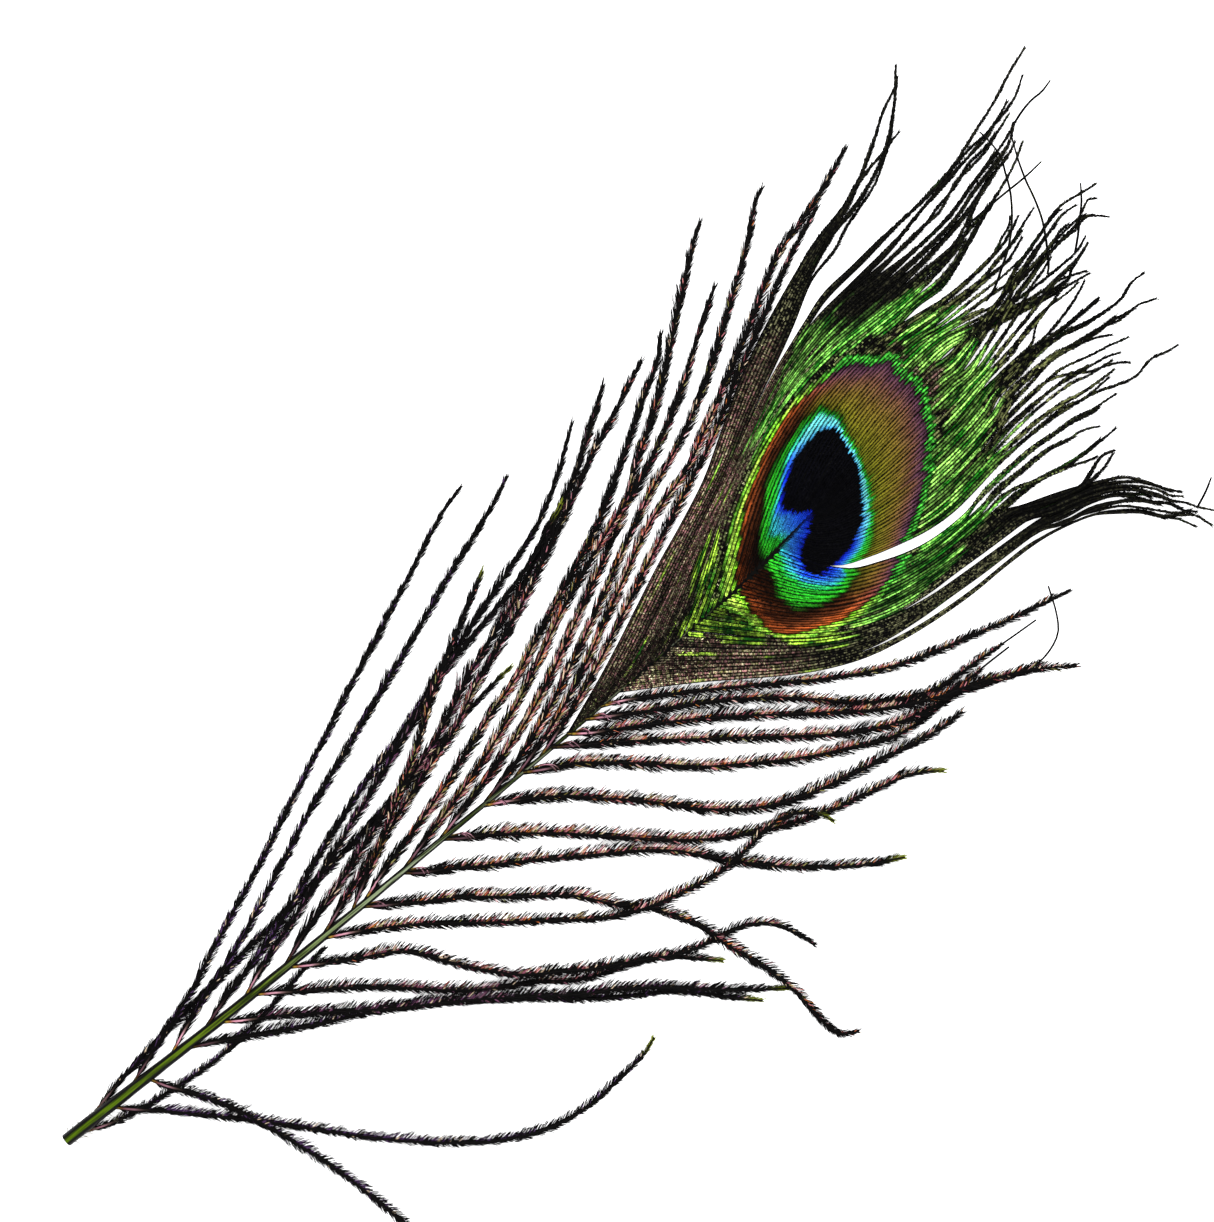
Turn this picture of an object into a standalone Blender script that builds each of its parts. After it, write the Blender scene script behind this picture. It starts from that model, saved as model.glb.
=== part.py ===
"""Peacock tail feather, lying on a table.

The feather lies along +Y with its eye at the far end and its cut quill end near the origin. The underside of the
shaft is flat and lies in the plane Z = 0. Lengths below are millimetres unless their name says otherwise, and
become metres as each piece is made.

The shaft is one piece. Every barb that stands apart from its neighbours is a piece of its own, and so is every
lock of the vane: a group of barbs that cling together and have a clear gap at either side. A lock is made as a thin
sheet between its two outermost barbs.
"""
import bmesh
import bpy
from mathutils import Vector

METRES = 0.001              # one millimetre
GAP = 0.35                  # clear space between the shaft and what grows from it
FINE_STEPS = 8              # points between two waypoints when a path is smoothed

LOCK_THICKNESS = 0.5
LOCK_ROWS = 15              # steps along a lock
LOCK_COLUMNS = 5            # steps across a lock
LOCK_EDGE_STEPS = 30        # steps along each of the two lines a lock lies between
LOCK_INSET = 0.22           # how far a lock keeps inside the line it shares with the next lock
LOCK_MOST_INSET = 0.4       # the same near the root, as a share of the space between the lines
TABLE_CLEARANCE = 0.02      # the lowest point of a sheet over the table

BARB_STEPS = 11             # steps along a loose barb
BARB_ROOT_SCALE = 0.35      # width of a barb where it leaves the shaft, over its full width
BARB_TIP_SCALE = 0.30
BARB_FULL_FROM = 0.16       # shares of the length between which a barb has its full width
BARB_FULL_TO = 0.80
# Section of a barb one millimetre wide, a flattened hexagon.
BARB_SECTION = [(-0.5, 0), (-0.27, 0.22), (0.27, 0.22), (0.5, 0), (0.27, -0.22), (-0.27, -0.22)]

SHAFT_HALF_WIDTH = 1.15     # at the cut end
# Section of the shaft at the cut end: flat underneath, rounded on top.
SHAFT_SECTION = [(0.8, 0), (-0.8, 0), (-1.15, 0.88), (-0.83, 1.85), (0, 2.2), (0.83, 1.85), (1.15, 0.88)]
# Stations along the shaft: distance along, sideways position of its middle line, half width.
SHAFT = [
    (-6, 0.10, 1.15), (15, 0.45, 0.98), (30, 0.70, 0.88), (45, 0.75, 0.78), (60, 0.68, 0.68),
    (75, 0.52, 0.55), (90, 0.40, 0.44), (100, 0.25, 0.38), (110, 0.03, 0.34), (120, -0.25, 0.30),
    (130, -0.52, 0.26), (140, -0.92, 0.22), (150, -1.58, 0.19), (157, -2.35, 0.16), (162, -3.3, 0.13),
]

# Loose barbs. Each has a width, four heights of its middle line (at the root, one third, two thirds and the tip)
# and its waypoints (x, y). The first waypoint gives only where along the shaft the barb leaves it.
LEFT_BARBS = {
    1: (1.0, (0.6, 0.3, 0.3, 0.3),
        [(0, 1), (-2.0, 7.5), (-2.9, 13.5), (-3.8, 19.5), (-4.6, 28), (-5.7, 37), (-6.7, 47), (-7.8, 57),
         (-9.0, 67), (-11.0, 79), (-13.3, 91), (-14.7, 100), (-15.1, 104.8)]),
    2: (1.0, (1.2, 1.8, 1.2, 0.3),
        [(0, 9.5), (-3.4, 18.5), (-6.7, 27.7), (-10.2, 36), (-15.6, 49), (-20.2, 59.5), (-24.8, 70), (-30, 81.5),
         (-34.4, 92), (-38.1, 100.5), (-41.2, 107.5), (-43.3, 112.5), (-44.6, 117.7)]),
    3: (1.0, (1.1, 1.8, 1.2, 0.3),
        [(0, 18), (-2.3, 23), (-4.3, 29), (-7.2, 37.5), (-10.1, 45), (-13.8, 53.5), (-17.4, 62), (-21.3, 72.5),
         (-24.7, 81.5), (-28.8, 93), (-33, 104), (-36.6, 114), (-39, 120.5), (-41, 124.8)]),
    4: (1.0, (1.1, 1.6, 0.8, 0.3),
        [(0, 25.5), (-1.7, 31), (-4.7, 43), (-7.2, 50), (-10.2, 57.5), (-14.5, 70), (-17.5, 81), (-20.2, 90),
         (-23.5, 99.5), (-26, 107.5), (-28.2, 115), (-30.6, 122), (-33.6, 128.3), (-37.3, 134), (-41.1, 139.3)]),
    5: (1.0, (1.1, 1.7, 1.9, 0.9),
        [(0, 34), (-1.7, 38.5), (-4.2, 46.5), (-6.7, 54), (-9, 60), (-12.5, 70), (-16, 79.5), (-19.2, 89),
         (-21.8, 96), (-23, 102), (-24.4, 109), (-26, 115.5), (-28, 121), (-29.8, 125), (-31.4, 129)]),
    6: (1.0, (1.1, 1.5, 0.7, 0.3),
        [(0, 43), (-1.7, 48), (-4.2, 57), (-7.2, 66), (-10.3, 76), (-12.5, 84), (-15, 90.5), (-18.2, 97.5),
         (-20.8, 104.5), (-23.2, 111.5), (-26.2, 118.5), (-29.2, 125), (-32.2, 131), (-36.5, 138.3),
         (-42.8, 147.6)]),
    7: (1.0, (1.1, 1.6, 1.9, 0.6),
        [(0, 51.5), (-2, 57.5), (-4.3, 64.5), (-7.3, 73), (-10.5, 83), (-13, 91), (-16.2, 97.5), (-18.6, 104),
         (-21.4, 111), (-24.6, 118), (-28.2, 125.5), (-31.3, 132), (-34.6, 138.5), (-37.5, 145.5), (-40.2, 151.3),
         (-42, 155.4)]),
    8: (1.0, (1.1, 2.9, 2.9, 0.5),
        [(0, 57.5), (-2, 61.5), (-5.5, 68.5), (-9.8, 75.3), (-13.2, 81.5), (-16.8, 87), (-20, 91.5),
         (-23.3, 97.3), (-27.2, 104.3), (-30.9, 111.2)]),
    9: (1.0, (0.9, 1.3, 0.7, 0.3),
        [(0, 60.5), (-1.5, 65.5), (-3.6, 73.5), (-6, 82), (-8.6, 90), (-11, 97), (-13, 104), (-15.6, 110),
         (-18.3, 116.5), (-21.2, 123.5), (-23.9, 130), (-27.4, 136.5), (-32, 144), (-37, 152), (-40.3, 157.5),
         (-43.5, 161)]),
    10: (1.0, (0.9, 1.9, 1.7, 0.3),
         [(0, 69.5), (-1.3, 75), (-3, 82), (-5.3, 90), (-8.5, 99), (-11, 105), (-14.2, 111.7), (-17.5, 118.7),
          (-20.3, 126), (-23, 133), (-25.5, 141), (-29, 149), (-34, 158), (-39.2, 165.7), (-44, 173.3)]),
    11: (1.0, (0.8, 0.9, 0.6, 0.3),
         [(0, 77.5), (-1.5, 84), (-4, 94), (-6.6, 102), (-9.6, 109), (-13, 116), (-16.5, 123), (-20.3, 130.5),
          (-24.5, 137.5), (-29, 144), (-33.2, 150.8), (-38, 157.3), (-44.5, 165.5), (-50.5, 173),
          (-54.3, 178.3)]),
    12: (1.0, (0.7, 1.3, 1.0, 0.3),
         [(0, 87.3), (-2, 96), (-5, 104.5), (-8.8, 113), (-12.7, 121), (-16.5, 128.3), (-20.2, 135.8),
          (-23.2, 142), (-25.8, 149), (-29.3, 156.5), (-33.8, 164.3), (-39.5, 172.8), (-46.5, 182.6),
          (-50.2, 187), (-52, 190.3)]),
    13: (1.0, (0.7, 1.3, 1.0, 0.3),
         [(0, 93.8), (-2.3, 102.5), (-5.8, 111.5), (-9.8, 119.8), (-13.6, 127.3), (-17.4, 134.7), (-20.2, 141.5),
          (-22.3, 149), (-25.6, 156), (-29.4, 163), (-33.2, 170.5), (-37.5, 178), (-41.3, 185), (-43, 191),
          (-45.2, 198), (-48.3, 205.8)]),
    14: (1.0, (0.7, 1.3, 1.4, 1.2),
         [(0, 99.5), (-2.6, 108), (-6.2, 117), (-9.8, 125), (-13.4, 132.8), (-16.6, 140), (-19.8, 147.3),
          (-22.8, 154.3), (-26.3, 161), (-29.8, 167.3), (-33.3, 174), (-37, 181), (-40.3, 188), (-43.4, 195.5)]),
}
RIGHT_BARBS = {
    1: (1.0, (0.6, 0.3, 0.3, 0.3),
        [(0, -2.5), (2.4, 1), (3.5, 5), (4.4, 10), (5.1, 16), (5.5, 22), (5.3, 28), (4.7, 34), (3.8, 39.5),
         (2.9, 44), (2.3, 49.5)]),
    2: (1.3, (1.4, 1.6, 0.9, 0.4),
        [(0, 4.3), (3.3, 6.5), (6.7, 10.3), (11.3, 15), (17.7, 21.4), (24.3, 27.5), (31.5, 34), (38.5, 41.1),
         (45.3, 49.3), (49, 55.6), (51.2, 61.5), (52.1, 68), (51.7, 76), (51.1, 80.7), (50, 83.7)]),
    3: (1.3, (1.4, 2.9, 1.6, 0.4),
        [(0, 12), (3.8, 13.5), (7.5, 16.3), (13, 19.7), (20, 22.8), (27, 25.4), (36, 28), (46, 30), (54, 31.2),
         (62, 31.7), (70, 31.5)]),
    4: (1.2, (1.3, 1.0, 0.6, 0.4),
        [(0, 21), (2.6, 23.6), (4.8, 27.8), (8, 33.3), (12, 40.7), (15.3, 47.5), (18.3, 52.8), (23.2, 60.5),
         (29.3, 68.7), (35.7, 76.6), (41, 83.6), (45.3, 90.3), (49.3, 94.8), (53.2, 98.5), (56.9, 102.2)]),
    5: (1.2, (1.3, 2.0, 1.6, 0.6),
        [(0, 28), (3.2, 30.7), (6.3, 35.8), (11, 42.6), (15.5, 48.8), (18.6, 53.3), (24.3, 62.3), (30.7, 71.2),
         (36, 78.4), (39.2, 83.7), (43.3, 89.3), (47.8, 94.4), (52.2, 99.5), (55.5, 103.6), (58.2, 107.3)]),
    6: (1.2, (1.3, 1.3, 0.6, 0.4),
        [(0, 35.5), (3, 38), (6.2, 42.4), (10, 48), (15, 54.3), (20, 59.8), (24.3, 65), (27.5, 70), (30.5, 75),
         (33.8, 79.3), (36, 84), (38, 89), (40.5, 93.8), (43.7, 97.6), (47.3, 101.2)]),
    7: (1.3, (1.2, 1.7, 2.0, 0.4),
        [(0, 43), (3, 45.5), (5.3, 49.3), (8, 54), (11, 59.3), (14.6, 62.5), (19.5, 65.9), (24, 69.8), (27.3, 73),
         (30.6, 78), (34, 83), (36.7, 88), (39.2, 92.3), (41.5, 96.4), (42.9, 100.5), (43.8, 104.8), (45.5, 109.3),
         (48.3, 112.4), (51.7, 114), (55.1, 115.2)]),
    8: (1.3, (1.2, 2.4, 3.0, 2.2),
        [(0, 51), (2.8, 54), (5, 57.9), (9, 64.2), (13.2, 69.8), (18, 76), (23, 82.7), (27.5, 88.7), (30, 93),
         (32, 98), (33.3, 103), (34.5, 108), (34.9, 112.5), (34.5, 118), (34, 122.3), (35, 126.8), (37.6, 129.8),
         (40.5, 131.2)]),
    9: (1.4, (1.1, 1.7, 2.4, 0.4),
        [(0, 59.3), (3.4, 62.4), (6.8, 67.7), (11.1, 74.2), (15.6, 79.8), (19.5, 85), (22.7, 88.8), (28.5, 93.5),
         (31.3, 96.7), (34.5, 98.9), (40, 102), (45.5, 103.6), (53, 106.3), (60, 107.7), (66, 107.9),
         (69.5, 108.8), (71.5, 111.8)]),
    10: (1.4, (1.0, 1.5, 1.0, 0.4),
         [(0, 68.3), (2.7, 70.3), (5.7, 75.4), (9.1, 80.4), (13, 86.6), (16.7, 92), (20, 97), (23.5, 102.2),
          (27.8, 107.3), (33.5, 112), (37.5, 115.9), (42.3, 120.8), (46.5, 126), (50, 131), (53.1, 136.8)]),
    11: (1.4, (0.9, 1.5, 1.2, 0.4),
         [(0, 77.3), (2.7, 79.8), (5, 83.6), (9, 88.9), (13.5, 94.5), (18.3, 99.6), (23.5, 105.3), (28, 110.7),
          (31.5, 116), (34.5, 121.6), (37, 127), (39, 132.7), (40.2, 137.5), (41, 141), (42, 145), (44, 149),
          (45.8, 151.3)]),
    12: (1.4, (0.9, 1.5, 1.0, 0.4),
         [(0, 86.5), (2.3, 89.3), (4.8, 93.3), (8, 98), (12, 102.3), (16, 106.7), (20, 110.7), (24.3, 114.6),
          (28.3, 119.4), (31.5, 124.3), (33.6, 129), (35, 133.8), (36.5, 140), (37.8, 146), (39, 151.3),
          (39.7, 156), (39.8, 160.3)]),
    13: (1.4, (0.8, 1.4, 0.8, 0.5),
         [(0, 95.3), (2.4, 98.3), (4.8, 103), (9, 108.3), (14.3, 114.3), (19.5, 120.2), (23, 125.3), (26.5, 130.5),
          (29.8, 136), (32.6, 141.7), (35.2, 147), (36.4, 152.5), (36.4, 158), (36.2, 163), (36.1, 168),
          (36.2, 173.5)]),
    14: (1.3, (0.8, 1.5, 1.7, 1.6),
         [(0, 102), (2.6, 105), (5, 108.7), (9.5, 115), (14, 120.8), (19, 127.5), (23.5, 133.3), (28.1, 139.5),
          (31.5, 144.8), (34.2, 150.5), (35.7, 156), (36.6, 161), (38.4, 166), (40.5, 171.3), (41.4, 176),
          (40, 180.8), (37, 183.2), (32.2, 185.2)]),
    15: (1.3, (0.8, 1.6, 2.8, 2.6),
         [(0, 105.5), (2.6, 108.5), (5, 112.7), (9.9, 120.7), (14.8, 128), (20.3, 135.4), (25.3, 142.2),
          (29, 147.3), (32, 152.3), (34, 156.3), (35.6, 160), (37.2, 164.8), (39.3, 169.5), (41.4, 173.7),
          (45.8, 180.3)]),
    16: (1.3, (0.8, 1.4, 1.9, 0.8),
         [(0, 109.5), (2.5, 113), (7.2, 121), (11.8, 128.7), (17, 136), (22.3, 142), (26.5, 146.3), (29.7, 150.7),
          (32.3, 155), (33.8, 159), (34.3, 163), (34.6, 168), (35.1, 174), (35.5, 180)]),
    17: (1.0, (0.8, 1.3, 0.8, 0.3),
         [(0, 113), (2, 116.8), (7, 125), (11.5, 132), (15.8, 138.3), (20.8, 146), (25, 153.3), (28.3, 161.5),
          (31.2, 171.5), (33.2, 179), (35.3, 188)]),
}

# Lines between the locks, from the shaft to the tip of the barb that each line follows.
LINES = {
    "outer_left": [
        (0, 104.5), (-1.3, 108.5), (-5, 118), (-9, 127), (-12.8, 135.5), (-16, 143.5), (-19.6, 151.5),
        (-23.2, 158.8), (-26.9, 165.8), (-30.4, 173.5), (-34.3, 182), (-38, 190), (-40.5, 198), (-42, 202.5),
        (-44.7, 207.3), (-48.5, 213.5), (-51.3, 218.6)],
    "left_band": [
        (0, 113), (-0.9, 117), (-4.4, 126), (-8.2, 134), (-12, 142.3), (-15.8, 150.5), (-19.8, 158.8),
        (-23.6, 167), (-27.2, 175.3), (-31, 183.5), (-34.6, 190.5), (-38.3, 200), (-41, 206), (-44, 211.3),
        (-48.5, 216.5), (-53.8, 221.6)],
    "left_dark": [
        (0, 114.2), (-0.9, 118), (-4.0, 126.7), (-7.8, 134.7), (-11.6, 143), (-15.4, 151.2), (-19.2, 159.7),
        (-23.1, 167.9), (-27.1, 176.2), (-30.3, 185), (-31.8, 195), (-32.8, 205), (-33.9, 215), (-36.2, 223.3),
        (-39, 231), (-42.4, 240.4)],
    "left_green": [
        (0, 132), (-5.3, 140), (-12.2, 150), (-17.3, 160), (-20.9, 170), (-22.7, 180), (-22.8, 190),
        (-22.8, 200), (-24.9, 210), (-28, 220), (-29.9, 230)],
    "left_eye": [
        (0, 144), (-5, 149.6), (-10.6, 157.8), (-14.8, 166.5), (-17.5, 176), (-18.7, 186), (-18.7, 195),
        (-19.2, 204), (-22, 213), (-24.7, 222), (-25.2, 230.2)],
    "crown": [
        (0, 161.8), (-4.5, 167), (-5.8, 172), (-6.9, 177), (-7.9, 182), (-8.7, 187), (-9.4, 192), (-9.9, 197),
        (-10, 202), (-9.3, 207), (-8.4, 212), (-7.8, 217), (-6.8, 221), (-5, 224.8)],
    "crown_leaning": [
        (0, 161.8), (-4.5, 167), (-5.8, 172), (-6.9, 177), (-7.9, 182), (-8.7, 187), (-9.4, 192), (-9.8, 198),
        (-10.6, 204), (-11.9, 211), (-13.8, 218), (-15.3, 225), (-16.6, 230), (-16.3, 234.8)],
    "crown_right": [
        (0, 159.5), (-0.6, 162.8), (0.5, 167), (0.9, 172), (1.0, 177), (0.8, 182), (0.4, 187), (-0.2, 192),
        (-1.2, 197), (-2.3, 202), (-3.4, 207), (-4.4, 212), (-4.9, 217), (-4.5, 223)],
    "right_inner": [
        (0, 155.8), (1.5, 158), (4.2, 161), (6, 165), (7, 170), (7.5, 175), (7.5, 181), (7, 187), (6.3, 192),
        (5.5, 196), (4.9, 200), (4.7, 204), (4.9, 209), (5.4, 215), (6.4, 219), (7.6, 223.3)],
    "slit_left": [
        (0, 153.5), (0, 154.6), (3, 156.3), (6, 158.6), (8, 160.8), (9.3, 163.5), (10.5, 167.5), (11.4, 171.5),
        (12.1, 175.5), (12.4, 180), (12.0, 185), (11.2, 190), (10.6, 195), (10.3, 200), (10.3, 205), (10.9, 210),
        (11.8, 215), (13.6, 220), (13.5, 225), (14.2, 228.7)],
    "slit_right": [
        (0, 153.1), (0, 154.2), (3, 155.9), (6.1, 158.1), (8.5, 160.5), (10.1, 163.5), (11.5, 167.5),
        (12.5, 171.5), (13.1, 175.5), (13.3, 180), (12.9, 185), (12.3, 190), (12.1, 196), (12.3, 201),
        (12.9, 206), (13.6, 211), (13.9, 215.3)],
    "right_green": [
        (0, 140), (3.5, 143.5), (7.5, 147), (11, 151), (13.5, 155), (15.5, 160), (16.8, 165), (17.5, 170),
        (17.9, 175), (17.8, 180), (17.6, 185), (17.4, 190), (17.7, 195), (18.3, 200), (18.8, 203), (20.4, 206)],
    "right_dark": [
        (0, 133.5), (3, 137), (6.3, 140.3), (9.8, 144), (12.9, 147.8), (15.6, 151.8), (17.8, 156), (19.3, 160),
        (20.6, 165), (21.3, 170), (21.6, 175), (21.9, 180), (22.2, 185), (22.7, 191), (23.6, 196), (25, 201.5),
        (26.6, 205), (29, 208.2), (32, 210.8), (35.3, 213.5)],
    "outer_right": [
        (0, 116.5), (2.2, 120.3), (4.8, 124.5), (7.4, 128.5), (10, 132.3), (12.8, 136.2), (15.6, 140.3),
        (18.2, 144.5), (20.3, 148.8), (22, 153), (23.3, 158), (24.2, 163.5), (24.8, 169), (25.1, 175), (25, 181),
        (25.1, 187), (25.8, 192), (27.2, 196.5), (29.3, 201), (31.6, 204.3), (34.5, 207), (37.5, 209.5),
        (40.6, 211.4)],
}
# Locks: the two lines each lies between (the one nearer the quill first), the side of the shaft (-1 left), four
# heights as for a barb, and how far each column of the sheet reaches, as a share of its full length.
LOCKS = {
    "lock_left_outer": ("outer_left", "left_band", -1, (0.7, 1.3, 1.0, 0.3), (1.0, 0.95, 0.99, 0.93, 0.97, 1.0)),
    "lock_left_dark": ("left_dark", "left_green", -1, (0.6, 1.3, 1.0, 0.3), (1.0, 0.97, 1.02, 0.95, 0.97, 1.0)),
    "lock_left_green": ("left_green", "left_eye", -1, (0.6, 1.3, 1.0, 0.3), (1.0, 0.93, 0.97, 0.9, 0.94, 1.0)),
    "lock_left_eye": ("left_eye", "crown", -1, (0.5, 1.3, 0.9, 0.3), (0.93, 0.99, 0.93, 0.97, 0.94, 1.0)),
    "lock_crown": ("crown_right", "crown_leaning", 1, (0.5, 1.4, 2.1, 1.8), (0.95, 0.99, 0.96, 1.0, 0.97, 1.0)),
    "lock_right_inner": ("right_inner", "crown_right", 1, (0.5, 1.3, 0.9, 0.3), (1.0, 0.97, 1.08, 0.96, 1.1, 0.98)),
    "lock_right_tall": ("slit_left", "right_inner", 1, (0.5, 1.3, 0.9, 0.3), (1.0, 0.95, 0.99, 0.94, 0.98, 1.0)),
    "lock_right_green": ("right_green", "slit_right", 1, (0.6, 1.3, 1.0, 0.3), (1.0, 0.96, 1.0, 0.96, 0.97, 1.0)),
    "lock_right_dark": ("right_dark", "right_green", 1, (0.6, 1.3, 1.0, 0.3), (1.0, 1.04, 1.02, 1.0, 0.98, 0.96)),
    "lock_right_outer": ("outer_right", "right_dark", 1, (0.7, 1.3, 1.0, 0.3), (1.0, 0.95, 1.0, 0.97, 1.03, 0.97)),
}

COLOURS = {
    "shaft_horn": ((0.20, 0.21, 0.09), 0.42),
    "dark_barb": ((0.030, 0.022, 0.022), 0.55),
    "dark_vane": ((0.045, 0.040, 0.028), 0.55),
    "green_vane": ((0.035, 0.135, 0.040), 0.40),
    "eye_vane": ((0.105, 0.075, 0.030), 0.38),
}
LOCK_COLOURS = {
    "lock_left_outer": "dark_vane", "lock_left_dark": "dark_vane", "lock_left_green": "green_vane",
    "lock_left_eye": "eye_vane", "lock_crown": "eye_vane", "lock_right_inner": "eye_vane",
    "lock_right_tall": "eye_vane", "lock_right_green": "green_vane", "lock_right_dark": "dark_vane",
    "lock_right_outer": "dark_vane",
}


def shaft_side(along):
    """Middle line and half width of the shaft at a distance along it."""
    for (y0, x0, w0), (y1, x1, w1) in zip(SHAFT, SHAFT[1:]):
        if along <= y1:
            break
    share = min(max((along - y0) / (y1 - y0), 0.0), 1.0)
    return x0 + (x1 - x0) * share, w0 + (w1 - w0) * share


def rooted(points, side, clearance):
    """The same waypoints, with the first one set beside the shaft."""
    along = points[0][1]
    middle, half_width = shaft_side(along)
    return [(middle + side * (half_width + clearance), along)] + list(points[1:])


def smooth_path(points, steps):
    """Points at equal distances along a smooth curve through the waypoints."""
    knots = [Vector(p) for p in points]
    padded = [2 * knots[0] - knots[1]] + knots + [2 * knots[-1] - knots[-2]]
    fine = []
    for a, b, c, d in zip(padded, padded[1:], padded[2:], padded[3:]):
        for i in range(FINE_STEPS):
            t = i / FINE_STEPS
            fine.append(0.5 * (2 * b + (c - a) * t + (2 * a - 5 * b + 4 * c - d) * t ** 2
                               + (3 * b - a - 3 * c + d) * t ** 3))
    fine.append(knots[-1])
    travelled = [0.0]
    for p, q in zip(fine, fine[1:]):
        travelled.append(travelled[-1] + (q - p).length)
    path = []
    for i in range(steps + 1):
        target = travelled[-1] * i / steps
        k = 0
        while k < len(fine) - 2 and travelled[k + 1] < target:
            k += 1
        share = (target - travelled[k]) / (travelled[k + 1] - travelled[k])
        path.append(fine[k].lerp(fine[k + 1], share))
    return path


def height_at(heights, share):
    """Height of a middle line, smooth through the four heights given for it."""
    padded = [2 * heights[0] - heights[1]] + list(heights) + [2 * heights[-1] - heights[-2]]
    k = min(int(share * 3), 2)
    t = share * 3 - k
    a, b, c, d = padded[k:k + 4]
    return 0.5 * (2 * b + (c - a) * t + (2 * a - 5 * b + 4 * c - d) * t ** 2 + (3 * b - a - 3 * c + d) * t ** 3)


def width_at(share):
    """Width of a barb at a share of its length, over its full width."""
    if share < BARB_FULL_FROM:
        return BARB_ROOT_SCALE + (1 - BARB_ROOT_SCALE) * share / BARB_FULL_FROM
    if share > BARB_FULL_TO:
        return 1 - (1 - BARB_TIP_SCALE) * (share - BARB_FULL_TO) / (1 - BARB_FULL_TO)
    return 1.0


def material(slot):
    """The shared material of a slot."""
    if slot not in bpy.data.materials:
        colour, roughness = COLOURS[slot]
        made = bpy.data.materials.new(slot)
        made.use_nodes = True
        shader = made.node_tree.nodes["Principled BSDF"]
        shader.inputs["Base Color"].default_value = (*colour, 1.0)
        shader.inputs["Roughness"].default_value = roughness
        shader.inputs["Metallic"].default_value = 0.0
        made.diffuse_color = (*colour, 1.0)
    return bpy.data.materials[slot]


def outline(name, corners):
    """A closed flat outline in millimetres, used as the section of a swept piece."""
    curve = bpy.data.curves.new(name, "CURVE")
    curve.dimensions = "2D"
    spline = curve.splines.new("POLY")
    spline.points.add(len(corners) - 1)
    for point, (x, y) in zip(spline.points, corners):
        point.co = (x * METRES, y * METRES, 0, 1)
    spline.use_cyclic_u = True
    section = bpy.data.objects.new(name, curve)
    section.hide_render = True
    section.display_type = "WIRE"
    guides.objects.link(section)
    return section


def swept(name, section, path, scales, slot):
    """A solid with the given section, swept along a path and scaled at each of its points."""
    curve = bpy.data.curves.new(name, "CURVE")
    curve.dimensions = "3D"
    curve.twist_mode = "Z_UP"
    curve.bevel_mode = "OBJECT"
    curve.bevel_object = section
    curve.use_fill_caps = True
    spline = curve.splines.new("POLY")
    spline.points.add(len(path) - 1)
    for point, place, scale in zip(spline.points, path, scales):
        point.co = (place[0] * METRES, place[1] * METRES, place[2] * METRES, 1)
        point.radius = scale
    curve.materials.append(material(slot))
    piece = bpy.data.objects.new(name, curve)
    feather.objects.link(piece)
    return piece


def add_shaft():
    """The shaft, tapering from its cut end to the eye."""
    section = outline("shaft_section", SHAFT_SECTION)
    path = [(middle, along, 0.0) for along, middle, half_width in SHAFT]
    scales = [half_width / SHAFT_HALF_WIDTH for along, middle, half_width in SHAFT]
    return swept("shaft", section, path, scales, "shaft_horn")


def add_barb(name, side, width, heights, points, section):
    """One loose barb."""
    root_half_width = 0.5 * width * BARB_ROOT_SCALE
    flat = smooth_path(rooted(points, side, GAP + root_half_width), BARB_STEPS)
    shares = [i / BARB_STEPS for i in range(BARB_STEPS + 1)]
    path = [(p.x, p.y, height_at(heights, share)) for p, share in zip(flat, shares)]
    return swept(name, section, path, [width * width_at(share) for share in shares], "dark_barb")


def add_lock(name, first, second, side, heights, reaches):
    """One lock of the vane, a thin sheet between two lines."""
    edges = [smooth_path(rooted(LINES[line], side, GAP), LOCK_EDGE_STEPS) for line in (first, second)]
    sheet = bmesh.new()
    bmesh.ops.create_grid(sheet, x_segments=LOCK_COLUMNS, y_segments=LOCK_ROWS, size=0.5)
    lowest = 0.5 * LOCK_THICKNESS + TABLE_CLEARANCE
    for vertex in sheet.verts:
        across = vertex.co.x + 0.5
        share = (vertex.co.y + 0.5) * reaches[round(across * LOCK_COLUMNS)]
        step = share * LOCK_EDGE_STEPS
        k = min(int(step), LOCK_EDGE_STEPS - 1)
        first_side, second_side = (edge[k].lerp(edge[k + 1], step - k) for edge in edges)
        inset = min(LOCK_INSET / (second_side - first_side).length, LOCK_MOST_INSET)
        spot = first_side.lerp(second_side, inset + (1 - 2 * inset) * across)
        height = max(height_at(heights, min(share, 1.0)), lowest)
        vertex.co = Vector((spot.x, spot.y, height)) * METRES
    bmesh.ops.recalc_face_normals(sheet, faces=sheet.faces)
    mesh = bpy.data.meshes.new(name)
    sheet.to_mesh(mesh)
    sheet.free()
    mesh.materials.append(material(LOCK_COLOURS[name]))
    piece = bpy.data.objects.new(name, mesh)
    feather.objects.link(piece)
    shell = piece.modifiers.new("thickness", "SOLIDIFY")
    shell.thickness = LOCK_THICKNESS * METRES
    shell.offset = 0.0
    return piece


for thing in list(bpy.data.objects):
    bpy.data.objects.remove(thing, do_unlink=True)

feather = bpy.data.collections.new("peacock_feather")
guides = bpy.data.collections.new("guides")
bpy.context.scene.collection.children.link(feather)
bpy.context.scene.collection.children.link(guides)

add_shaft()

barb_section = outline("barb_section", BARB_SECTION)
for barbs, side, word in ((LEFT_BARBS, -1, "left"), (RIGHT_BARBS, 1, "right")):
    for number, (width, heights, points) in barbs.items():
        add_barb(f"barb_{word}_{number:02d}", side, width, heights, points, barb_section)

for name, (first, second, side, heights, reaches) in LOCKS.items():
    add_lock(name, first, second, side, heights, reaches)
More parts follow.
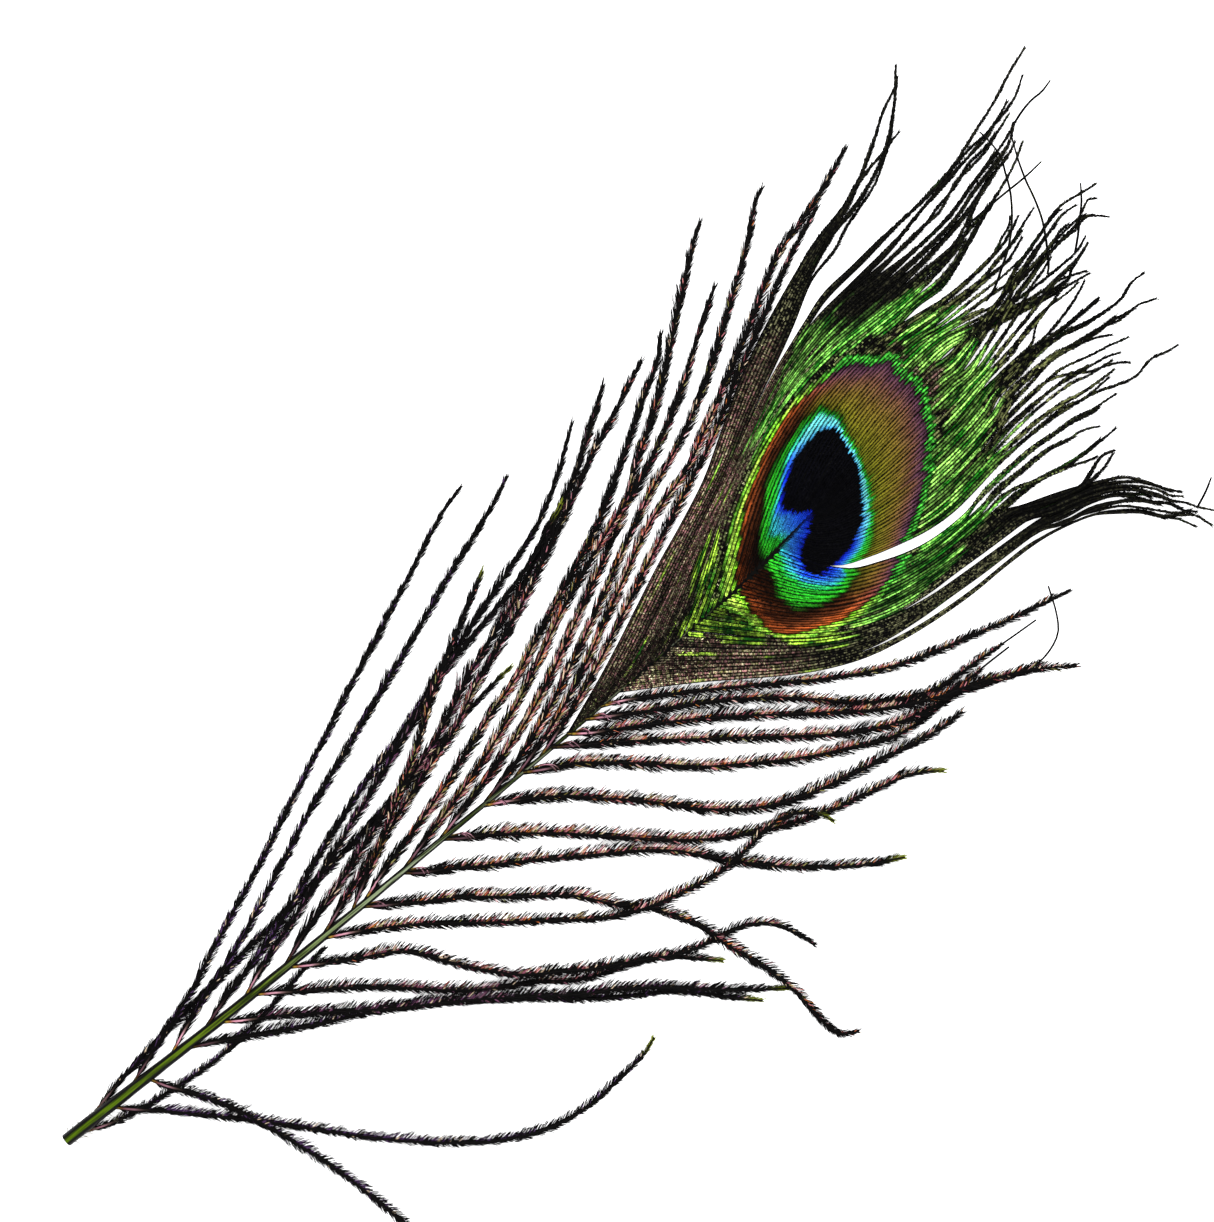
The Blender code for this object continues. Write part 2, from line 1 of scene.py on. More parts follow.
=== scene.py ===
# %% [markdown]
# # A peacock tail feather on a pale table
#
# A feather is built in three steps, each finer than the last. The shaft is the stem. Barbs grow from both
# sides of the shaft. Barbules grow from both sides of every barb: leaves about a millimetre long and
# thinner than a hair. All the colour of a peacock's eye sits in the barbules, so this scene grows them one
# by one.
#
# The solid model of the feather is loaded first and stays where it is. Each of its pieces then gets a finer
# piece that stands in its place.
# %% Load the solid model
import math

import bpy
import numpy as np
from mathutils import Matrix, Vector


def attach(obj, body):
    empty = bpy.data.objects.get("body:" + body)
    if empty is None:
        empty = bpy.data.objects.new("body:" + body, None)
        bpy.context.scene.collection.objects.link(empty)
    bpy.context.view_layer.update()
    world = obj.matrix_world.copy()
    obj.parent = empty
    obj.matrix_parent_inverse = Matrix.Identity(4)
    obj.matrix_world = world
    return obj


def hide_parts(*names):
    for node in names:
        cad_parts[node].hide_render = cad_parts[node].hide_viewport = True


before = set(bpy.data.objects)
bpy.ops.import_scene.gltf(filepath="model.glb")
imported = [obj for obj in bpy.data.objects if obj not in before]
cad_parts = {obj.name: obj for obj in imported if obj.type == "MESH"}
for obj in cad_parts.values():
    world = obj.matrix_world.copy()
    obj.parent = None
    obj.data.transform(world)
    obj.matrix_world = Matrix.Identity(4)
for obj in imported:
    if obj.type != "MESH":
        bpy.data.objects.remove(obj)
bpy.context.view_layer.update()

# %% [markdown]
# ## Units
#
# A feather is easiest to describe in millimetres, and Blender works in metres. So lengths and places on the
# feather are in millimetres, and each mesh is turned into metres when it is made. Places that a material asks
# for are multiplied by METRES, and only the table and the lamps are given in metres. Anything random comes
# from a numbered generator, so that the feather is the same each time the script runs.
# %% Units and chance
METRES = 0.001  # one millimetre
SEED = 39


def chance_for(*numbers):
    """A random number generator that always gives the same numbers for the same piece."""
    return np.random.default_rng([SEED, *numbers])


# %% [markdown]
# ## Where everything lies
#
# The feather lies along Y with its eye at the far end, and the table is the plane Z = 0. The shaft is given
# by stations along it, and each loose barb by waypoints. The vane round the eye is made of locks: groups of
# barbs that cling together between two lines. The shaft and the loose barbs have the same stations and
# waypoints as the solid model. Five of the lines between locks lie up to a millimetre and a half beside the
# solid model's, which brings the colours and gaps of the vane closer to the photograph.
# %% The shaft
# Distance along, sideways place of its middle line, half width.
SHAFT = [
    (-6, 0.10, 1.15), (15, 0.45, 0.98), (30, 0.70, 0.88), (45, 0.75, 0.78), (60, 0.68, 0.68),
    (75, 0.52, 0.55), (90, 0.40, 0.44), (100, 0.25, 0.38), (110, 0.03, 0.34), (120, -0.25, 0.30),
    (130, -0.52, 0.26), (140, -0.92, 0.22), (150, -1.58, 0.19), (157, -2.35, 0.16), (162, -3.3, 0.13),
]
SHAFT_SIDE = 1.15  # half width of the section at the cut end
SHAFT_HEIGHT = 2.2  # its height there

# %% Loose barbs
# Number: (heights at the root, one third, two thirds and the tip), waypoints (x, y).
LEFT_BARBS = {
    1: ((0.6, 0.3, 0.3, 0.3),
        [(0, 1), (-2.0, 7.5), (-2.9, 13.5), (-3.8, 19.5), (-4.6, 28), (-5.7, 37), (-6.7, 47), (-7.8, 57),
         (-9.0, 67), (-11.0, 79), (-13.3, 91), (-14.7, 100), (-15.1, 104.8)]),
    2: ((1.2, 1.8, 1.2, 0.3),
        [(0, 9.5), (-3.4, 18.5), (-6.7, 27.7), (-10.2, 36), (-15.6, 49), (-20.2, 59.5), (-24.8, 70),
         (-30, 81.5), (-34.4, 92), (-38.1, 100.5), (-41.2, 107.5), (-43.3, 112.5), (-44.6, 117.7)]),
    3: ((1.1, 1.8, 1.2, 0.3),
        [(0, 18), (-2.3, 23), (-4.3, 29), (-7.2, 37.5), (-10.1, 45), (-13.8, 53.5), (-17.4, 62),
         (-21.3, 72.5), (-24.7, 81.5), (-28.8, 93), (-33, 104), (-36.6, 114), (-39, 120.5), (-41, 124.8)]),
    4: ((1.1, 1.6, 0.8, 0.3),
        [(0, 25.5), (-1.7, 31), (-4.7, 43), (-7.2, 50), (-10.2, 57.5), (-14.5, 70), (-17.5, 81), (-20.2, 90),
         (-23.5, 99.5), (-26, 107.5), (-28.2, 115), (-30.6, 122), (-33.6, 128.3), (-37.3, 134),
         (-41.1, 139.3)]),
    5: ((1.1, 1.7, 1.9, 0.9),
        [(0, 34), (-1.7, 38.5), (-4.2, 46.5), (-6.7, 54), (-9, 60), (-12.5, 70), (-16, 79.5), (-19.2, 89),
         (-21.8, 96), (-23, 102), (-24.4, 109), (-26, 115.5), (-28, 121), (-29.8, 125), (-31.4, 129)]),
    6: ((1.1, 1.5, 0.7, 0.3),
        [(0, 43), (-1.7, 48), (-4.2, 57), (-7.2, 66), (-10.3, 76), (-12.5, 84), (-15, 90.5), (-18.2, 97.5),
         (-20.8, 104.5), (-23.2, 111.5), (-26.2, 118.5), (-29.2, 125), (-32.2, 131), (-36.5, 138.3),
         (-42.8, 147.6)]),
    7: ((1.1, 1.6, 1.9, 0.6),
        [(0, 51.5), (-2, 57.5), (-4.3, 64.5), (-7.3, 73), (-10.5, 83), (-13, 91), (-16.2, 97.5), (-18.6, 104),
         (-21.4, 111), (-24.6, 118), (-28.2, 125.5), (-31.3, 132), (-34.6, 138.5), (-37.5, 145.5),
         (-40.2, 151.3), (-42, 155.4)]),
    8: ((1.1, 2.9, 2.9, 0.5),
        [(0, 57.5), (-2, 61.5), (-5.5, 68.5), (-9.8, 75.3), (-13.2, 81.5), (-16.8, 87), (-20, 91.5),
         (-23.3, 97.3), (-27.2, 104.3), (-30.9, 111.2)]),
    9: ((0.9, 1.3, 0.7, 0.3),
        [(0, 60.5), (-1.5, 65.5), (-3.6, 73.5), (-6, 82), (-8.6, 90), (-11, 97), (-13, 104), (-15.6, 110),
         (-18.3, 116.5), (-21.2, 123.5), (-23.9, 130), (-27.4, 136.5), (-32, 144), (-37, 152), (-40.3, 157.5),
         (-43.5, 161)]),
    10: ((0.9, 1.9, 1.7, 0.3),
         [(0, 69.5), (-1.3, 75), (-3, 82), (-5.3, 90), (-8.5, 99), (-11, 105), (-14.2, 111.7), (-17.5, 118.7),
          (-20.3, 126), (-23, 133), (-25.5, 141), (-29, 149), (-34, 158), (-39.2, 165.7), (-44, 173.3)]),
    11: ((0.8, 0.9, 0.6, 0.3),
         [(0, 77.5), (-1.5, 84), (-4, 94), (-6.6, 102), (-9.6, 109), (-13, 116), (-16.5, 123), (-20.3, 130.5),
          (-24.5, 137.5), (-29, 144), (-33.2, 150.8), (-38, 157.3), (-44.5, 165.5), (-50.5, 173),
          (-54.3, 178.3)]),
    12: ((0.7, 1.3, 1.0, 0.3),
         [(0, 87.3), (-2, 96), (-5, 104.5), (-8.8, 113), (-12.7, 121), (-16.5, 128.3), (-20.2, 135.8),
          (-23.2, 142), (-25.8, 149), (-29.3, 156.5), (-33.8, 164.3), (-39.5, 172.8), (-46.5, 182.6),
          (-50.2, 187), (-52, 190.3)]),
    13: ((0.7, 1.3, 1.0, 0.3),
         [(0, 93.8), (-2.3, 102.5), (-5.8, 111.5), (-9.8, 119.8), (-13.6, 127.3), (-17.4, 134.7),
          (-20.2, 141.5), (-22.3, 149), (-25.6, 156), (-29.4, 163), (-33.2, 170.5), (-37.5, 178),
          (-41.3, 185), (-43, 191), (-45.2, 198), (-48.3, 205.8)]),
    14: ((0.7, 1.3, 1.4, 1.2),
         [(0, 99.5), (-2.6, 108), (-6.2, 117), (-9.8, 125), (-13.4, 132.8), (-16.6, 140), (-19.8, 147.3),
          (-22.8, 154.3), (-26.3, 161), (-29.8, 167.3), (-33.3, 174), (-37, 181), (-40.3, 188),
          (-43.4, 195.5)]),
}
RIGHT_BARBS = {
    1: ((0.6, 0.3, 0.3, 0.3),
        [(0, -2.5), (2.4, 1), (3.5, 5), (4.4, 10), (5.1, 16), (5.5, 22), (5.3, 28), (4.7, 34), (3.8, 39.5),
         (2.9, 44), (2.3, 49.5)]),
    2: ((1.4, 1.6, 0.9, 0.4),
        [(0, 4.3), (3.3, 6.5), (6.7, 10.3), (11.3, 15), (17.7, 21.4), (24.3, 27.5), (31.5, 34), (38.5, 41.1),
         (45.3, 49.3), (49, 55.6), (51.2, 61.5), (52.1, 68), (51.7, 76), (51.1, 80.7), (50, 83.7)]),
    3: ((1.4, 2.9, 1.6, 0.4),
        [(0, 12), (3.8, 13.5), (7.5, 16.3), (13, 19.7), (20, 22.8), (27, 25.4), (36, 28), (46, 30),
         (54, 31.2), (62, 31.7), (70, 31.5)]),
    4: ((1.3, 1.0, 0.6, 0.4),
        [(0, 21), (2.6, 23.6), (4.8, 27.8), (8, 33.3), (12, 40.7), (15.3, 47.5), (18.3, 52.8), (23.2, 60.5),
         (29.3, 68.7), (35.7, 76.6), (41, 83.6), (45.3, 90.3), (49.3, 94.8), (53.2, 98.5), (56.9, 102.2)]),
    5: ((1.3, 2.0, 1.6, 0.6),
        [(0, 28), (3.2, 30.7), (6.3, 35.8), (11, 42.6), (15.5, 48.8), (18.6, 53.3), (24.3, 62.3),
         (30.7, 71.2), (36, 78.4), (39.2, 83.7), (43.3, 89.3), (47.8, 94.4), (52.2, 99.5), (55.5, 103.6),
         (58.2, 107.3)]),
    6: ((1.3, 1.3, 0.6, 0.4),
        [(0, 35.5), (3, 38), (6.2, 42.4), (10, 48), (15, 54.3), (20, 59.8), (24.3, 65), (27.5, 70),
         (30.5, 75), (33.8, 79.3), (36, 84), (38, 89), (40.5, 93.8), (43.7, 97.6), (47.3, 101.2)]),
    7: ((1.2, 1.7, 2.0, 0.4),
        [(0, 43), (3, 45.5), (5.3, 49.3), (8, 54), (11, 59.3), (14.6, 62.5), (19.5, 65.9), (24, 69.8),
         (27.3, 73), (30.6, 78), (34, 83), (36.7, 88), (39.2, 92.3), (41.5, 96.4), (42.9, 100.5),
         (43.8, 104.8), (45.5, 109.3), (48.3, 112.4), (51.7, 114), (55.1, 115.2)]),
    8: ((1.2, 2.4, 3.0, 2.2),
        [(0, 51), (2.8, 54), (5, 57.9), (9, 64.2), (13.2, 69.8), (18, 76), (23, 82.7), (27.5, 88.7), (30, 93),
         (32, 98), (33.3, 103), (34.5, 108), (34.9, 112.5), (34.5, 118), (34, 122.3), (35, 126.8),
         (37.6, 129.8), (40.5, 131.2)]),
    9: ((1.1, 1.7, 2.4, 0.4),
        [(0, 59.3), (3.4, 62.4), (6.8, 67.7), (11.1, 74.2), (15.6, 79.8), (19.5, 85), (22.7, 88.8),
         (28.5, 93.5), (31.3, 96.7), (34.5, 98.9), (40, 102), (45.5, 103.6), (53, 106.3), (60, 107.7),
         (66, 107.9), (69.5, 108.8), (71.5, 111.8)]),
    10: ((1.0, 1.5, 1.0, 0.4),
         [(0, 68.3), (2.7, 70.3), (5.7, 75.4), (9.1, 80.4), (13, 86.6), (16.7, 92), (20, 97), (23.5, 102.2),
          (27.8, 107.3), (33.5, 112), (37.5, 115.9), (42.3, 120.8), (46.5, 126), (50, 131), (53.1, 136.8)]),
    11: ((0.9, 1.5, 1.2, 0.4),
         [(0, 77.3), (2.7, 79.8), (5, 83.6), (9, 88.9), (13.5, 94.5), (18.3, 99.6), (23.5, 105.3),
          (28, 110.7), (31.5, 116), (34.5, 121.6), (37, 127), (39, 132.7), (40.2, 137.5), (41, 141),
          (42, 145), (44, 149), (45.8, 151.3)]),
    12: ((0.9, 1.5, 1.0, 0.4),
         [(0, 86.5), (2.3, 89.3), (4.8, 93.3), (8, 98), (12, 102.3), (16, 106.7), (20, 110.7), (24.3, 114.6),
          (28.3, 119.4), (31.5, 124.3), (33.6, 129), (35, 133.8), (36.5, 140), (37.8, 146), (39, 151.3),
          (39.7, 156), (39.8, 160.3)]),
    13: ((0.8, 1.4, 0.8, 0.5),
         [(0, 95.3), (2.4, 98.3), (4.8, 103), (9, 108.3), (14.3, 114.3), (19.5, 120.2), (23, 125.3),
          (26.5, 130.5), (29.8, 136), (32.6, 141.7), (35.2, 147), (36.4, 152.5), (36.4, 158), (36.2, 163),
          (36.1, 168), (36.2, 173.5)]),
    14: ((0.8, 1.5, 1.7, 1.6),
         [(0, 102), (2.6, 105), (5, 108.7), (9.5, 115), (14, 120.8), (19, 127.5), (23.5, 133.3),
          (28.1, 139.5), (31.5, 144.8), (34.2, 150.5), (35.7, 156), (36.6, 161), (38.4, 166),
          (40.5, 171.3), (41.4, 176), (40, 180.8), (37, 183.2), (32.2, 185.2)]),
    15: ((0.8, 1.6, 2.8, 2.6),
         [(0, 105.5), (2.6, 108.5), (5, 112.7), (9.9, 120.7), (14.8, 128), (20.3, 135.4), (25.3, 142.2),
          (29, 147.3), (32, 152.3), (34, 156.3), (35.6, 160), (37.2, 164.8), (39.3, 169.5), (41.4, 173.7),
          (45.8, 180.3)]),
    16: ((0.8, 1.4, 1.9, 0.8),
         [(0, 109.5), (2.5, 113), (7.2, 121), (11.8, 128.7), (17, 136), (22.3, 142), (26.5, 146.3),
          (29.7, 150.7), (32.3, 155), (33.8, 159), (34.3, 163), (34.6, 168), (35.1, 174), (35.5, 180)]),
    17: ((0.8, 1.3, 0.8, 0.3),
         [(0, 113), (2, 116.8), (7, 125), (11.5, 132), (15.8, 138.3), (20.8, 146), (25, 153.3), (28.3, 161.5),
          (31.2, 171.5), (33.2, 179), (35.3, 188)]),
}

# %% Fringes of the loose barbs
# Barb: how far its barbules reach towards the feather's tip, and how far on the other side.
FRINGES = {
    "left": {
        1: (0.85, 0.75), 2: (0.75, 0.75), 3: (0.75, 0.90), 4: (0.75, 0.95), 5: (0.80, 0.95), 6: (0.90, 1.10),
        7: (0.95, 1.00), 8: (0.80, 0.95), 9: (0.95, 1.00), 10: (1.00, 1.05), 11: (0.95, 1.05),
        12: (0.90, 1.00), 13: (0.95, 0.95), 14: (0.90, 0.90),
    },
    "right": {
        1: (1.00, 0.75), 2: (1.45, 0.75), 3: (1.35, 0.90), 4: (1.55, 0.80), 5: (1.70, 0.85), 6: (1.65, 0.80),
        7: (1.55, 0.90), 8: (1.60, 0.95), 9: (1.80, 0.90), 10: (1.85, 0.95), 11: (1.90, 0.95),
        12: (1.80, 1.10), 13: (1.60, 1.20), 14: (1.65, 1.10), 15: (1.65, 1.15),
        16: (1.55, 1.15), 17: (1.20, 0.95),
    },
}
# Barb: the share of its length beyond which it is a bare whisker.
BARE_FROM = {("right", 13): 0.93, ("right", 14): 0.86, ("right", 16): 0.91}

# %% Lines between the locks of the vane
LINES = {
    "outer_left": [
        (0, 104.5), (-1.3, 108.5), (-5, 118), (-9, 127), (-12.8, 135.5), (-16, 143.5), (-19.6, 151.5),
        (-24.0, 158.8), (-28.2, 165.8), (-32.0, 173.5), (-35.6, 182), (-38.6, 190), (-40.8, 198),
        (-42, 202.5), (-44.7, 207.3), (-48.5, 213.5), (-51.3, 218.6)],
    "left_band": [
        (0, 113), (-0.9, 117), (-4.4, 126), (-8.2, 134), (-12, 142.3), (-15.8, 150.5), (-19.8, 158.8),
        (-24.3, 167), (-28.1, 175.3), (-32.4, 183.5), (-36.0, 190.5), (-39.2, 200), (-41.3, 206),
        (-44, 211.3), (-48.5, 216.5), (-53.8, 221.6)],
    "left_dark": [
        (0, 113.3), (-0.9, 117.2), (-4.3, 126.1), (-8.1, 134.1), (-11.9, 142.4), (-15.7, 150.6),
        (-19.7, 158.9), (-24.0, 167.1), (-27.4, 175.8), (-30.3, 185), (-31.8, 195), (-32.8, 205),
        (-33.9, 215), (-36.2, 223.3), (-39, 231), (-42.4, 240.4)],
    "left_green": [
        (0, 132), (-5.3, 140), (-12.2, 150), (-17.3, 160), (-20.9, 170), (-22.7, 180), (-22.8, 190),
        (-22.8, 200), (-24.9, 210), (-28, 220), (-29.9, 230)],
    "left_eye": [
        (0, 144), (-5, 149.6), (-10.6, 157.8), (-14.8, 166.5), (-17.5, 176), (-18.7, 186), (-18.7, 195),
        (-19.2, 204), (-22, 213), (-24.7, 222), (-25.2, 230.2)],
    "crown": [
        (0, 161.8), (-4.5, 167), (-5.8, 172), (-6.9, 177), (-7.9, 182), (-8.7, 187), (-9.4, 192), (-9.9, 197),
        (-10, 202), (-9.3, 207), (-8.4, 212), (-7.8, 217), (-6.8, 221), (-5, 224.8)],
    "crown_leaning": [
        (0, 161.8), (-4.5, 167), (-5.8, 172), (-6.9, 177), (-7.9, 182), (-8.7, 187), (-9.4, 192), (-9.8, 198),
        (-10.6, 204), (-11.9, 211), (-13.8, 218), (-15.3, 225), (-16.6, 230), (-16.3, 234.8)],
    "crown_right": [
        (0, 159.5), (-0.6, 162.8), (0.5, 167), (0.9, 172), (1.0, 177), (0.8, 182), (0.4, 187), (-0.2, 192),
        (-1.2, 197), (-2.3, 202), (-3.4, 207), (-4.4, 212), (-4.9, 217), (-4.5, 223)],
    "right_inner": [
        (0, 155.8), (1.5, 158), (4.2, 161), (6, 165), (7, 170), (7.5, 175), (7.5, 181), (7, 187), (6.3, 192),
        (5.5, 196), (4.9, 200), (4.7, 204), (4.9, 209), (5.4, 215), (6.4, 219), (7.6, 223.3)],
    "slit_left": [
        (0, 153.3), (0, 154.4), (3, 156.1), (6, 158.5), (7.5, 160.9), (8.6, 163.6), (9.8, 167.5),
        (10.9, 171.5), (11.7, 175.5), (12.0, 180), (11.6, 185), (10.9, 190), (10.5, 195), (10.3, 200),
        (10.3, 205), (10.9, 210), (11.8, 215), (13.6, 220), (13.5, 225), (14.2, 228.7)],
    "slit_right": [
        (0, 153.3), (0, 154.4), (3, 156.0), (6.3, 158.1), (8.5, 160.2), (10.1, 163.3), (11.8, 167.5),
        (13.0, 171.5), (13.6, 175.5), (13.7, 180), (13.3, 185), (12.7, 190), (12.3, 196), (12.3, 201),
        (12.9, 206), (13.6, 211), (13.9, 215.3)],
    "right_green": [
        (0, 140), (3.5, 143.5), (7.5, 147), (11, 151), (13.5, 155), (15.5, 160), (16.8, 165), (17.5, 170),
        (17.9, 175), (17.8, 180), (17.6, 185), (17.4, 190), (17.7, 195), (18.3, 200), (18.8, 203),
        (20.4, 206)],
    "right_dark": [
        (0, 133.5), (3, 137), (6.3, 140.3), (9.8, 144), (12.9, 147.8), (15.6, 151.8), (17.8, 156),
        (19.3, 160), (20.6, 165), (21.3, 170), (21.6, 175), (21.9, 180), (22.2, 185), (22.7, 191),
        (23.6, 196), (25, 201.5), (26.6, 205), (29, 208.2), (32, 210.8), (35.3, 213.5)],
    "outer_right": [
        (0, 116.5), (2.2, 120.3), (4.8, 124.5), (7.4, 128.5), (10, 132.3), (12.8, 136.2), (15.6, 140.3),
        (18.2, 144.5), (20.3, 148.8), (22, 153), (23.3, 158), (24.2, 163.5), (24.8, 169), (25.1, 175),
        (25, 181), (25.1, 187), (25.8, 192), (27.2, 196.5), (29.3, 201), (31.6, 204.3), (34.5, 207),
        (37.5, 209.5), (40.6, 211.4)],
}

# %% Locks of the vane
# Name: the two lines it lies between, the side of the shaft (-1 left), its heights and its slot.
LOCKS = {
    "left_outer": ("outer_left", "left_band", -1, (0.7, 1.3, 1.0, 0.3), "dark_vane"),
    "left_dark": ("left_dark", "left_green", -1, (0.6, 1.3, 1.0, 0.3), "dark_vane"),
    "left_green": ("left_green", "left_eye", -1, (0.6, 1.3, 1.0, 0.3), "green_vane"),
    "left_eye": ("left_eye", "crown", -1, (0.5, 1.3, 0.9, 0.3), "eye_vane"),
    "crown": ("crown_right", "crown_leaning", 1, (0.5, 1.4, 2.1, 1.8), "eye_vane"),
    "right_inner": ("right_inner", "crown_right", 1, (0.5, 1.3, 0.9, 0.3), "eye_vane"),
    "right_tall": ("slit_left", "right_inner", 1, (0.5, 1.3, 0.9, 0.3), "eye_vane"),
    "right_green": ("right_green", "slit_right", 1, (0.6, 1.3, 1.0, 0.3), "green_vane"),
    "right_dark": ("right_dark", "right_green", 1, (0.6, 1.3, 1.0, 0.3), "dark_vane"),
    "right_outer": ("outer_right", "right_dark", 1, (0.7, 1.3, 1.0, 0.3), "dark_vane"),
}
# Name: how many barbs it has, the radii of their rami near the shaft and three quarters up, how far their
# barbules reach in the strands and near the tip, and two distances along the feather: from where on the
# strips under its barbs are at their widest, and where its strands begin.
BARBS_OF_LOCK = {
    "left_outer": (8, (0.10, 0.15), (0.40, 0.30), (150, 190)),
    "left_dark": (15, (0.08, 0.15), (0.40, 0.30), (128, 202)),
    "left_green": (9, (0.08, 0.14), (0.40, 0.28), (118, 204)),
    "left_eye": (19, (0.07, 0.13), (0.40, 0.28), (118, 203)),
    "crown": (17, (0.07, 0.14), (0.36, 0.28), (118, 202)),
    "right_inner": (13, (0.07, 0.14), (0.40, 0.28), (118, 198)),
    "right_tall": (9, (0.07, 0.14), (0.38, 0.28), (118, 192)),
    "right_green": (11, (0.08, 0.15), (0.38, 0.28), (118, 186)),
    "right_dark": (9, (0.09, 0.16), (0.36, 0.32), (136, 206)),
    "right_outer": (13, (0.10, 0.16), (0.34, 0.32), (160, 206)),
}
# Name: where barbs that are evenly spaced at the shaft lie halfway up. This leaves gaps between groups of
# them.
GROUPED = {
    "right_outer": [(0, 0.0), (0.2, 0.16), (0.26, 0.52), (1, 1)],
    "right_dark": [(0, 0), (0.09, 0.02), (0.16, 0.34), (1, 1)],
}

